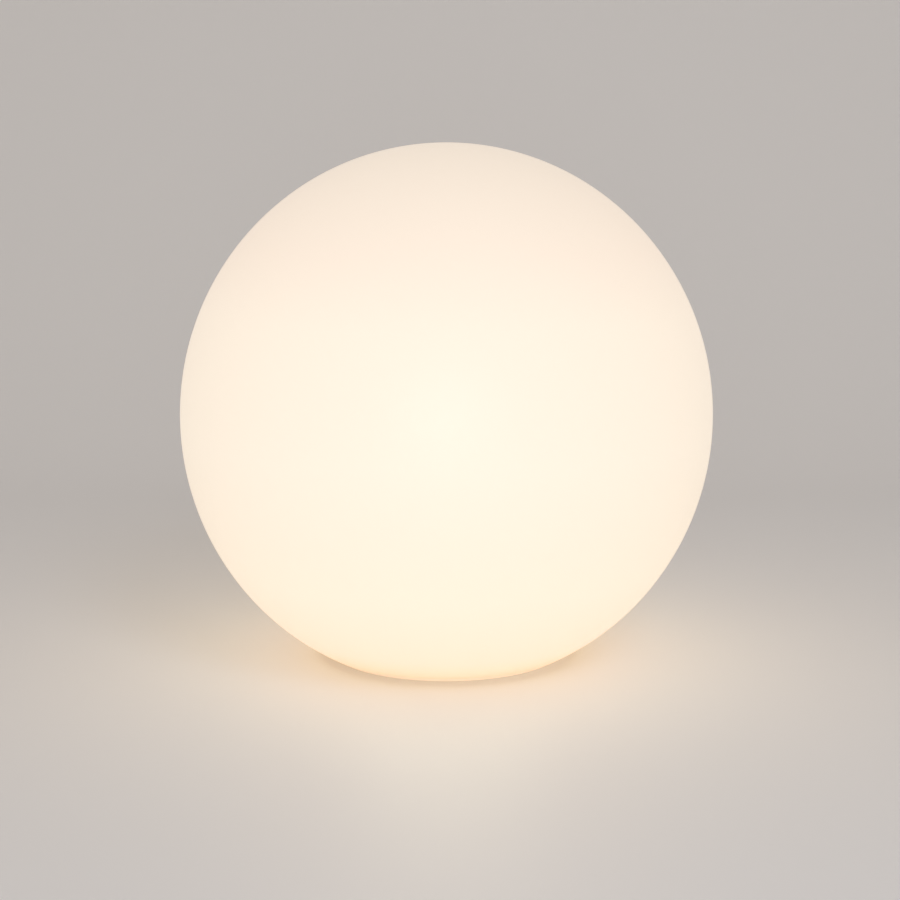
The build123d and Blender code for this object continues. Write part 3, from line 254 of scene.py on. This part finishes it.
def glowing_polyethylene():
    """Milky ball plastic lit from inside, its glow painted as emission: dimmer and warmer at the foot as
    painted shade, brightest level with the lamp, dimmer above.
    """
    material, tree, shader = finish(
        "glowing_polyethylene", (0.60, 0.57, 0.52), 0.5, Coat_Weight=0.5, Coat_Roughness=0.45, Coat_IOR=1.5
    )
    point = object_point(tree)
    # painted glow by height: the inner lamp's light through the wall, with painted shade at the foot
    glow = ramp(
        tree,
        spread(tree, height_of(tree, point), 0.0, ball_high.z, 0.0, 1.0),
        (0.000, (0.360, 0.220, 0.100)),
        (0.020, (0.580, 0.405, 0.240)),
        (0.060, (0.620, 0.440, 0.315)),
        (0.200, (0.630, 0.520, 0.395)),
        (0.450, (0.640, 0.550, 0.440)),
        (0.680, (0.635, 0.540, 0.435)),
        (0.800, (0.605, 0.495, 0.400)),
        (1.000, (0.530, 0.445, 0.360)),
    )
    tree.links.new(glow, shader.inputs["Emission Color"])
    shader.inputs["Emission Strength"].default_value = 1.0
    worn(tree, shader, speckle(tree, point, 60.0), 0.46, 0.54)
    bumped(tree, shader, speckle(tree, point, 900.0), 0.05 * MM)
    return material


def frosted_polycarbonate():
    """Lamp dome: frosted, glowing, strongest at the height of the emitters."""
    material, tree, shader = finish("frosted_polycarbonate", (0.70, 0.68, 0.64), 0.4)
    point = object_point(tree)
    glow = ramp(
        tree,
        spread(tree, height_of(tree, point), dome_low.z, dome_high.z, 0.0, 1.0),
        (0.0, (0.28, 0.20, 0.11)),
        (0.4, (0.62, 0.53, 0.40)),
        (0.7, (0.60, 0.51, 0.38)),
        (1.0, (0.40, 0.33, 0.24)),
    )
    tree.links.new(glow, shader.inputs["Emission Color"])
    shader.inputs["Emission Strength"].default_value = 1.0
    worn(tree, shader, speckle(tree, point, 200.0), 0.35, 0.5)
    bumped(tree, shader, speckle(tree, point, 3000.0), 0.03 * MM)
    return material


def moulded_plastic(name, tone, roughness, grain):
    """Housing plastic: faint flow clouds and the fine spark-eroded grain of its mould."""
    material, tree, shader = finish(name, tone, roughness)
    point = object_point(tree)
    cloud = speckle(tree, point, 45.0)
    tinted(tree, shader, cloud, *shades(tone, 0.04))
    worn(tree, shader, cloud, roughness - 0.05, roughness + 0.05)
    bumped(tree, shader, speckle(tree, point, 2600.0, 2.0), grain)
    return material


def light_pipe_acrylic():
    """Clear rod with a little haze."""
    material, tree, shader = finish(
        "light_pipe_acrylic", (0.92, 0.95, 0.96), 0.08, Transmission_Weight=0.85, IOR=1.49
    )
    point = object_point(tree)
    worn(tree, shader, speckle(tree, point, 700.0), 0.04, 0.14)
    return material


def soft_rubber(name, tone, roughness):
    """Matt elastomer, dusted unevenly, with a soft grain."""
    material, tree, shader = finish(name, tone, roughness, Specular_IOR_Level=0.35)
    point = object_point(tree)
    dust = speckle(tree, point, 120.0, 5.0)
    tinted(tree, shader, dust, *shades(tone, 0.12))
    worn(tree, shader, dust, roughness - 0.08, roughness + 0.08)
    bumped(tree, shader, speckle(tree, point, 1800.0, 2.0), 0.05 * MM)
    return material


def drawn_metal(name, tone, roughness, run):
    """Metal with fine marks along one way; run holds the marks per metre along each axis."""
    material, tree, shader = finish(name, tone, roughness, Metallic=1.0)
    point = object_point(tree)
    marks = speckle(tree, stretched(tree, point, run), 1.0, 4.0)
    tinted(tree, shader, speckle(tree, point, 90.0), *shades(tone, 0.06))
    worn(tree, shader, marks, roughness - 0.08, roughness + 0.1)
    bumped(tree, shader, marks, 0.02 * MM)
    return material


def shrink_wrap():
    """Blue film shrunk over the cells: glossy, with a faint run of wrinkles along them."""
    tone = (0.05, 0.16, 0.42)
    material, tree, shader = finish("shrink_wrap", tone, 0.28)
    point = object_point(tree)
    tinted(tree, shader, speckle(tree, point, 70.0), *shades(tone, 0.1))
    wrinkles = speckle(tree, stretched(tree, point, (700.0, 60.0, 700.0)), 1.0)
    worn(tree, shader, wrinkles, 0.22, 0.34)
    bumped(tree, shader, wrinkles, 0.06 * MM)
    return material


def solder_mask(name, board, copper, cells_per_metre):
    """Board lacquer over copper, from cells of square distance.

    Tracks run where the nearest two cells are almost equally far, and vias lie at the cells' middles.
    """
    track_edge = 0.07, 0.10
    via_edge = 0.05, 0.08
    material, tree, shader = finish(name, board, 0.3)
    point = object_point(tree)
    nearest, second = (
        node(tree, "ShaderNodeTexVoronoi", feature=feature, distance="CHEBYCHEV", Scale=cells_per_metre,
             Randomness=0.55)
        for feature in ("F1", "F2")
    )
    for texture in (nearest, second):
        tree.links.new(point, texture.inputs["Vector"])
    gap = node(tree, "ShaderNodeMath", operation="SUBTRACT")
    tree.links.new(second.outputs["Distance"], gap.inputs[0])
    tree.links.new(nearest.outputs["Distance"], gap.inputs[1])
    tracks = ramp(tree, gap.outputs["Value"], (track_edge[0], copper), (track_edge[1], board))
    vias = node(tree, "ShaderNodeMix", data_type="RGBA")
    # the colour sockets of a Mix node, which share their names with its number and vector sockets
    factor, under, over, mixed = vias.inputs[0], vias.inputs[6], vias.inputs[7], vias.outputs[2]
    tree.links.new(spread(tree, nearest.outputs["Distance"], *via_edge, 1.0, 0.0), factor)
    tree.links.new(tracks, under)
    over.default_value = (0.70, 0.66, 0.55, 1)
    tree.links.new(mixed, shader.inputs["Base Color"])
    worn(tree, shader, gap.outputs["Value"], 0.38, 0.28, *track_edge)
    bumped(tree, shader, spread(tree, gap.outputs["Value"], *track_edge, 1.0, 0.0), 0.04 * MM)
    return material


def emitter_phosphor():
    """Yellow phosphor over the emitters, lit."""
    material, tree, shader = finish("emitter_phosphor", (0.90, 0.72, 0.25), 0.45)
    point = object_point(tree)
    grains = speckle(tree, point, 2200.0)
    tinted(tree, shader, grains, (0.80, 0.60, 0.16), (0.95, 0.80, 0.36))
    glow = ramp(tree, grains, (0.3, (0.95, 0.70, 0.34)), (0.7, (1.0, 0.82, 0.50)))
    tree.links.new(glow, shader.inputs["Emission Color"])
    shader.inputs["Emission Strength"].default_value = 1.3
    return material


# ---------------------------------------------------------------- finishes by the record's slots

finishes = {
    "ball_plastic": glowing_polyethylene(),
    "frosted_plastic": frosted_polycarbonate(),
    "white_plastic": moulded_plastic("white_housing", (0.80, 0.785, 0.75), 0.42, 0.04 * MM),
    "black_plastic": moulded_plastic("black_moulding", (0.028, 0.028, 0.03), 0.45, 0.04 * MM),
    "ivory_plastic": moulded_plastic("ivory_socket", (0.78, 0.72, 0.58), 0.4, 0.02 * MM),
    "chip_black": moulded_plastic("chip_epoxy", (0.03, 0.03, 0.035), 0.6, 0.06 * MM),
    "ferrite": moulded_plastic("sintered_ferrite", (0.10, 0.10, 0.11), 0.68, 0.1 * MM),
    "clear_plastic": light_pipe_acrylic(),
    "black_rubber": soft_rubber("gasket_rubber", (0.028, 0.028, 0.028), 0.75),
    "button_rubber": soft_rubber("button_and_flap_rubber", (0.115, 0.12, 0.127), 0.62),
    "grey_silicone": soft_rubber("seal_silicone", (0.36, 0.37, 0.38), 0.5),
    "red_lead": soft_rubber("red_sleeve", (0.50, 0.03, 0.02), 0.38),
    "black_lead": soft_rubber("black_sleeve", (0.025, 0.025, 0.025), 0.38),
    "brass": drawn_metal("turned_brass", (0.78, 0.58, 0.28), 0.28, (400.0, 400.0, 6000.0)),
    "stainless": drawn_metal("stainless_steel", (0.60, 0.59, 0.57), 0.3, (900.0, 900.0, 5000.0)),
    "nickel": drawn_metal("rolled_nickel", (0.66, 0.63, 0.57), 0.32, (200.0, 4000.0, 4000.0)),
    "black_steel": drawn_metal("blackened_steel", (0.045, 0.045, 0.05), 0.42, (900.0, 900.0, 5000.0)),
    "anodised": drawn_metal("satin_anodised", (0.74, 0.75, 0.76), 0.4, (3000.0, 3000.0, 150.0)),
    "can_aluminium": drawn_metal("drawn_can", (0.78, 0.78, 0.78), 0.25, (3500.0, 3500.0, 200.0)),
    "cell_wrap": shrink_wrap(),
    "circuit_board": solder_mask("green_solder_mask", (0.02, 0.16, 0.07), (0.05, 0.28, 0.12), 130.0),
    "white_board": solder_mask("white_solder_mask", (0.80, 0.80, 0.77), (0.72, 0.71, 0.66), 200.0),
    "led_yellow": emitter_phosphor(),
}

slot_of = {row["node"]: row["material_slot"] for row in frame["record"]["subparts"]}
for name, part in nodes.items():
    part.data.materials.clear()
    part.data.materials.append(finishes[slot_of[name]])


# ---------------------------------------------------------------- pieces

def moulded_ball():
    """Ball with its turned-in lip, one wall turned about Z.

    Outside and inside are ellipses r = a cos t, z = c + b sin t, from the top down to the flat lip.
    """
    rows = 170

    def ellipse(wide, half, end_z):
        low = np.arcsin((end_z - ball_centre) / half)
        t = np.linspace(np.pi / 2, low, rows)
        r = wide * np.cos(t)
        r[0] = 0
        return np.stack([r, ball_centre + half * np.sin(t)], axis=-1)

    outside = ellipse(ball_radius, ball_half_height, ball_low.z)
    inside = ellipse(ball_radius - ball_wall, ball_half_height - ball_wall, ball_low.z + ball_wall)
    lip = [(lip_radius, ball_low.z), (lip_radius, ball_low.z + ball_wall)]
    profile = np.concatenate([outside, lip, inside[::-1]])
    solid("moulded_ball", [turned(profile, 256)], "ball_plastic", "globe", ("globe_shell",))


def frosted_dome():
    """Diffuser: half a sphere on a straight skirt with a lip, turned about Z; the wall is 2 mm thick."""
    wall, lip_reach, lip_thick = 2.0 * MM, 2.6 * MM, 2.0 * MM
    radius = dome_high.x - lip_reach
    t = np.linspace(0, np.pi / 2, 40)[:, None]
    sphere_z = dome_high.z - radius
    arc = np.hstack([np.cos(t), np.sin(t)])
    arc[-1, 0] = 0
    bore = (radius - wall) * arc + (0, sphere_z)
    skin = radius * arc + (0, sphere_z)
    foot = rounded(
        [
            (radius - wall, dome_low.z + lip_thick),
            (radius - wall, dome_low.z),
            (dome_high.x, dome_low.z),
            (dome_high.x, dome_low.z + lip_thick),
            (radius, dome_low.z + lip_thick),
            (radius, dome_low.z + 2 * lip_thick),
        ],
        0.4 * MM,
    )
    profile = np.concatenate([bore[::-1], foot, skin])
    solid("frosted_dome", [turned(profile, 128)], "frosted_plastic", "lamp_unit", ("lamp_diffuser",))


def neck_seal():
    """Seal ring, a closed section turned about Z.

    Its edges are quarter ellipses, and each face has two low lips z = h sin^2(2 pi s) over its width.
    """
    inner, outer = 47.98 * MM, seal_high.x
    lip, edge_share = 0.25 * MM, 0.08
    s = np.linspace(0, 1, 41)
    lips = lip * np.sin(2 * np.pi * s) ** 2
    face = np.minimum(np.minimum(s, 1 - s) / edge_share, 1.0)
    half = (seal_high.z - seal_low.z) / 2
    rise = (half - lip) * np.sqrt(1 - (1 - face) ** 2) + lips * face
    r = inner + (outer - inner) * s
    middle = (seal_low.z + seal_high.z) / 2
    top = np.stack([r, middle + rise], axis=-1)
    under = np.stack([r, middle - rise], axis=-1)[::-1]
    section = np.concatenate([top, under[1:-1]])
    solid("neck_seal", [turned(section, 192)], "grey_silicone", "seal", ("lamp_seal",), closed=True)


def screw_grid(head, top, collar, shank, length, pitch):
    """One screw, its head at the origin facing +Z: distance rho(u, v) from the axis at depth z(u).

    In the socket rho = a / cos(v mod 60 deg - 30 deg), a hexagon. On the shank it is
    r - d |saw(z / pitch - v)|, a helical thread. Elsewhere rho = r(u). The collar starts at the depth top.
    """
    turns = 36
    v = np.linspace(0, 2 * np.pi, turns, endpoint=False)[None, :]
    apothem = 0.48 * head
    hexagon = apothem / np.cos(np.mod(v, np.pi / 3) - np.pi / 6)
    depth = 0.55 * min(head, length)
    plain = np.ones_like(v)
    rows = [
        (0 * v, -depth),
        (hexagon, -depth),
        (hexagon, -0.08 * head),
        (hexagon + 0.08 * head, 0.0),
        (0.93 * head * plain, 0.0),
        (head * plain, -0.07 * head),
        (collar * plain, -top),
    ]
    thread = np.arange(top + 0.2 * pitch, length - 0.6 * pitch, pitch / 6)
    for z in thread:
        saw = np.abs(2 * np.mod(z / pitch - v / (2 * np.pi), 1) - 1)
        rows.append((shank - 0.32 * pitch * saw, -z))
    rows += [(0.8 * shank * plain, -length), (0 * v, -length)]
    rho = np.concatenate([row[0] for row in rows])
    z = np.array([row[1] for row in rows])[:, None]
    return np.stack([rho * np.cos(v), rho * np.sin(v), z + 0 * v], axis=-1)


def placed(grid, place, out):
    """Grid turned so that its +Z looks along out, then moved to the place."""
    out = np.asarray(out, float)
    side = np.cross(out, (0.0, 0.0, 1.0) if abs(out[2]) < 0.9 else (1.0, 0.0, 0.0))
    side /= np.linalg.norm(side)
    return grid @ np.stack([side, np.cross(out, side), out]) + np.asarray(place)


def ring_places(radius, z, count, first_degrees):
    """Places evenly spread on a circle about Z."""
    turn = np.radians(first_degrees + 360 / count * np.arange(count))
    return [(radius * np.cos(a), radius * np.sin(a), z) for a in turn]


def neck_screws():
    """Six countersunk screws that look down from the neck ring."""
    low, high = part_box("neck_screws")
    head = 4.0 * MM
    grid = screw_grid(head, 2.1 * MM, 1.85 * MM, 1.85 * MM, 10.5 * MM, 0.8 * MM)
    places = ring_places(high.x - head, low.z, 6, 0)
    grids = [placed(grid, place, (0, 0, -1)) for place in places]
    solid("neck_screw_set", grids, "stainless", "globe", ("neck_screws",))


def cap_screws(name, replaced, places, length):
    """Cylinder-head screws that look up from their places."""
    grid = screw_grid(2.6 * MM, 1.8 * MM, 2.6 * MM, 1.2 * MM, length, 0.5 * MM)
    grids = [placed(grid, place, (0, 0, 1)) for place in places]
    solid(name, grids, slot_of[replaced], "lamp_unit", (replaced,))


def unit_screws():
    """Screws of the cover, the cradle and the lamp base."""
    head = 2.6 * MM
    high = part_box("cover_screws")[1]
    places = ring_places((high.x - head) * 2 ** 0.5, high.z, 4, 45)
    cap_screws("cover_screw_set", "cover_screws", places, 7.0 * MM)
    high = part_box("cradle_screws")[1]
    x, y = high.x - head, high.y - head
    corners = [(a * x, b * y, high.z) for a in (-1, 1) for b in (-1, 1)]
    cap_screws("cradle_screw_set", "cradle_screws", corners, 5.5 * MM)
    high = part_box("base_screws")[1]
    places = ring_places(high.y - head, high.z, 3, 90)
    cap_screws("base_screw_set", "base_screws", places, 7.0 * MM)


def grub_screws(name, replaced, radius, inner, count, first_degrees):
    """Headless screws about Z that look outwards and run from the radius in to the inner radius."""
    low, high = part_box(replaced)
    grid = screw_grid(1.5 * MM, 0.25 * MM, 1.5 * MM, 1.5 * MM, radius - inner, 0.5 * MM)
    places = ring_places(radius, (low.z + high.z) / 2, count, first_degrees)
    grids = [placed(grid, place, (place[0] / radius, place[1] / radius, 0)) for place in places]
    solid(name, grids, slot_of[replaced], "lamp_unit", (replaced,))


def wrapped_cells():
    """Two cells turned about Y: a sleeve shrunk over the can's rolled groove, and the cap in its open end."""
    sleeves, caps = [], []
    for name in ("battery_cell_1", "battery_cell_2"):
        low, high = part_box(name)
        radius = (high.x - low.x) / 2
        centre = ((low.x + high.x) / 2, low.y, (low.z + high.z) / 2)
        length = high.y - low.y
        cap_length = 1.2 * MM
        end = length - cap_length
        sleeve = rounded(
            [
                (0, 0),
                (radius, 0),
                (radius, end - 6.0 * MM),
                (radius - 0.7 * MM, end - 5.0 * MM),
                (radius, end - 4.0 * MM),
                (radius, end),
                (5.4 * MM, end),
                (5.2 * MM, end - 0.5 * MM),
                (0, end - 0.5 * MM),
            ],
            MM * np.array([0, 1.0, 0.6, 0.6, 0.6, 0.9, 0.2, 0.2, 0]),
        )
        cap = rounded(
            [
                (0, end - 0.4 * MM),
                (4.6 * MM, end - 0.4 * MM),
                (3.0 * MM, end),
                (3.0 * MM, length),
                (0, length),
            ],
            0.3 * MM,
        )
        for grids, profile in ((sleeves, sleeve), (caps, cap)):
            grids.append(placed(turned(profile, 64), centre, (0, 1, 0)))
    solid("wrapped_cells", sleeves, "cell_wrap", "lamp_unit", ("battery_cell_1", "battery_cell_2"))
    solid("cell_caps", caps, "nickel", "lamp_unit")


def domes(name, spots, radius, height, slot):
    """Low domes z = h (1 - (rho / r)^2) with a flat underside, one at each spot of (place, outward)."""
    s = np.linspace(0, 1, 7)
    profile = np.stack([radius * s, height * (1 - s ** 2)], axis=-1)
    grid = turned(np.concatenate([profile, [(0, 0)]]), 24)
    solid(name, [placed(grid, place, out) for place, out in spots], slot, "lamp_unit")


def emitter_lenses():
    """Domes of phosphor that fill the emitters' dishes, on the six strips and on the top board."""
    emitter, dish = 3.5 * MM, 0.3 * MM
    low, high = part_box("led_chips")
    face = high.y - dish
    spots = []
    for out in ring_places(1.0, 0.0, 6, 30):
        for z in np.linspace(low.z + emitter / 2, high.z - emitter / 2, 5):
            spots.append(((face * out[0], face * out[1], z), out))
    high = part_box("top_led_chips")[1]
    spots += [(place, (0, 0, 1)) for place in ring_places(high.x - emitter / 2, high.z - dish, 4, 0)]
    domes("emitter_lenses", spots, 1.22 * MM, 0.55 * MM, "led_yellow")


def link_joints():
    """Weld spots of the strips on the cells' ends, and the solder that holds their tails on the board."""
    low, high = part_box("cell_links")
    weld_offset = 1.4 * MM
    welds = []
    for name in ("battery_cell_1", "battery_cell_2"):
        cell_low, cell_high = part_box(name)
        x, z = (cell_low.x + cell_high.x) / 2, (cell_low.z + cell_high.z) / 2
        for dz in (-weld_offset, weld_offset):
            for dx in (-weld_offset, weld_offset):
                for y, out in ((low.y, -1), (high.y, 1)):
                    welds.append(((x + dx, y, z + dz), (0, out, 0)))
    domes("link_welds", welds, 0.55 * MM, 0.14 * MM, "nickel")
    tails = [((0, y, low.z), (0, 0, 1)) for y in (low.y, high.y)]
    domes("tail_solder", tails, 2.6 * MM, 1.1 * MM, "nickel")


moulded_ball()
frosted_dome()
neck_seal()
neck_screws()
unit_screws()
grub_screws("mast_screw_set", "mast_screws", 13.55 * MM, 10.0 * MM, 3, 60)
grub_screws("sink_screw_set", "sink_screws", 16.0 * MM, 10.0 * MM, 2, 9)
wrapped_cells()
emitter_lenses()
link_joints()

# ---------------------------------------------------------------- studio

sweep_tone = (0.80, 0.785, 0.77)
floor_level = -0.2 * MM
floor_front = -2.6
floor_back = 0.62
sweep_radius = 0.9
sweep_top = 3.0
sweep_side = 4.0


def pale_sweep():
    """Floor and backdrop: level, then a quarter arc (y, z) = (b + R sin t, R - R cos t), then upright.

    It is see-through from below, so that the neck shows in views from under the floor.
    """
    t = np.linspace(0, np.pi / 2, 48)
    arc = np.stack([floor_back + sweep_radius * np.sin(t), sweep_radius - sweep_radius * np.cos(t)], axis=-1)
    line = np.concatenate([[[floor_front, 0]], arc, [[floor_back + sweep_radius, sweep_top]]])
    line[:, 1] += floor_level
    across = np.linspace(-sweep_side, sweep_side, 9)
    points = np.stack(np.broadcast_arrays(across[None, :], line[:, :1], line[:, 1:]), axis=-1)
    rows, columns = points.shape[:2]
    row, column = np.arange(rows - 1)[:, None], np.arange(columns - 1)[None, :]
    corner = row * columns + column
    faces = np.stack([corner, corner + 1, corner + columns + 1, corner + columns], axis=-1).reshape(-1, 4)
    mesh = bpy.data.meshes.new("pale_sweep")
    mesh.from_pydata(points.reshape(-1, 3).tolist(), [], faces.tolist())
    mesh.shade_smooth()
    sheet = bpy.data.objects.new("pale_sweep", mesh)
    scene.collection.objects.link(sheet)
    material, tree, shader = finish("painted_sweep", sweep_tone, 0.55, Specular_IOR_Level=0.35)
    seen_from_below = node(tree, "ShaderNodeMixShader")
    tree.links.new(node(tree, "ShaderNodeNewGeometry").outputs["Backfacing"], seen_from_below.inputs["Fac"])
    tree.links.new(shader.outputs["BSDF"], seen_from_below.inputs[1])
    tree.links.new(node(tree, "ShaderNodeBsdfTransparent").outputs["BSDF"], seen_from_below.inputs[2])
    tree.links.new(seen_from_below.outputs["Shader"], tree.nodes["Material Output"].inputs["Surface"])
    mesh.materials.append(material)
    return sheet


def soft_light(name, place, target, size, power, tone=(1, 1, 1)):
    """Round area light at the place, turned towards the target."""
    data = bpy.data.lights.new(name, "AREA")
    data.shape, data.size, data.energy, data.color = "DISK", size, power, tone
    light = bpy.data.objects.new(name, data)
    light.location = place
    light.rotation_euler = (Vector(target) - Vector(place)).to_track_quat("-Z", "Y").to_euler()
    scene.collection.objects.link(light)
    return light


def lamp_glow(name, height, radius, power, tone):
    """Ball of light inside the globe: the lamp's light on the floor beyond what the ball's glow can give."""
    data = bpy.data.lights.new(name, "POINT")
    data.shadow_soft_size, data.energy, data.color = radius, power, tone
    light = bpy.data.objects.new(name, data)
    light.location = (0, 0, height)
    scene.collection.objects.link(light)
    return light


def gathered(name, things):
    """Collection of the things, for a light to shine on or be stopped by."""
    made = bpy.data.collections.new(name)
    for thing in things:
        made.objects.link(thing)
    return made


def photograph_camera():
    """Camera in front and a little above, at the photograph's viewing angle."""
    data = bpy.data.cameras.new("photograph_camera")
    data.lens, data.sensor_width, data.clip_end = camera_lens, 36.0, 30.0
    camera = bpy.data.objects.new("photograph_camera", data)
    rise = np.radians(camera_rise)
    camera.location = (0, -camera_distance * np.cos(rise), ball_centre + camera_distance * np.sin(rise))
    camera.rotation_euler = np.radians((90 - camera_pitch, 0, -camera_yaw))
    scene.collection.objects.link(camera)
    bpy.context.scene.camera = camera


def room_light():
    """Even, slightly warm light from all round."""
    world = bpy.data.worlds.new("studio_room")
    world.use_nodes = True
    scene.world = world
    background = world.node_tree.nodes["Background"]
    background.inputs["Color"].default_value = (0.985, 0.925, 0.875, 1)
    background.inputs["Strength"].default_value = 0.556


sweep = pale_sweep()
not_in_neck = "pale_sweep", "moulded_ball", "globe_shell"
in_neck = [thing for thing in scene.objects if thing.type == "MESH" and thing.name not in not_in_neck]
sweep_only = gathered("sweep_only", [sweep])
neck_parts = gathered("neck_parts", in_neck)
neck_floor = gathered("neck_floor", [nodes["neck_collar"], nodes["base_cup"]])

photograph_camera()
room_light()
soft_light("overhead_softbox", (0.3, -0.6, 2.4), (0.0, -0.2, 0.0), size=2.0, power=2.2)
soft_light("front_softbox", (0.0, -1.9, 0.45), (0.0, 0.0, 0.2), size=0.7, power=4.4, tone=(0.90, 0.95, 1.0))
key = soft_light("key_on_sweep", (0.6, -1.5, 1.5), (0.0, 0.0, 0.1), size=0.7, power=5.5, tone=(0.7, 0.8, 1.0))
key.light_linking.receiver_collection = sweep_only

# the glow lights only the floor, and the neck keeps it off the floor right below
wide_glow = lamp_glow("wide_glow", ball_centre, 0.95 * ball_radius, 0.42, (1.0, 0.43, 0.02))
foot_glow = lamp_glow("foot_glow", 0.40 * ball_radius, 0.32 * ball_radius, 0.97, (1.0, 0.92, 0.65))
for glow in (wide_glow, foot_glow):
    glow.light_linking.receiver_collection = sweep_only
    glow.light_linking.blocker_collection = neck_floor

# the neck, which the floor shades, has a light of its own from below
under = soft_light("under_softbox", (0.12, -0.16, -0.45), (0.0, 0.0, 0.0), size=0.3, power=0.8)
under.light_linking.receiver_collection = neck_parts
under.light_linking.blocker_collection = neck_parts

scene.view_settings.view_transform = "Standard"
scene.cycles.use_denoising = True
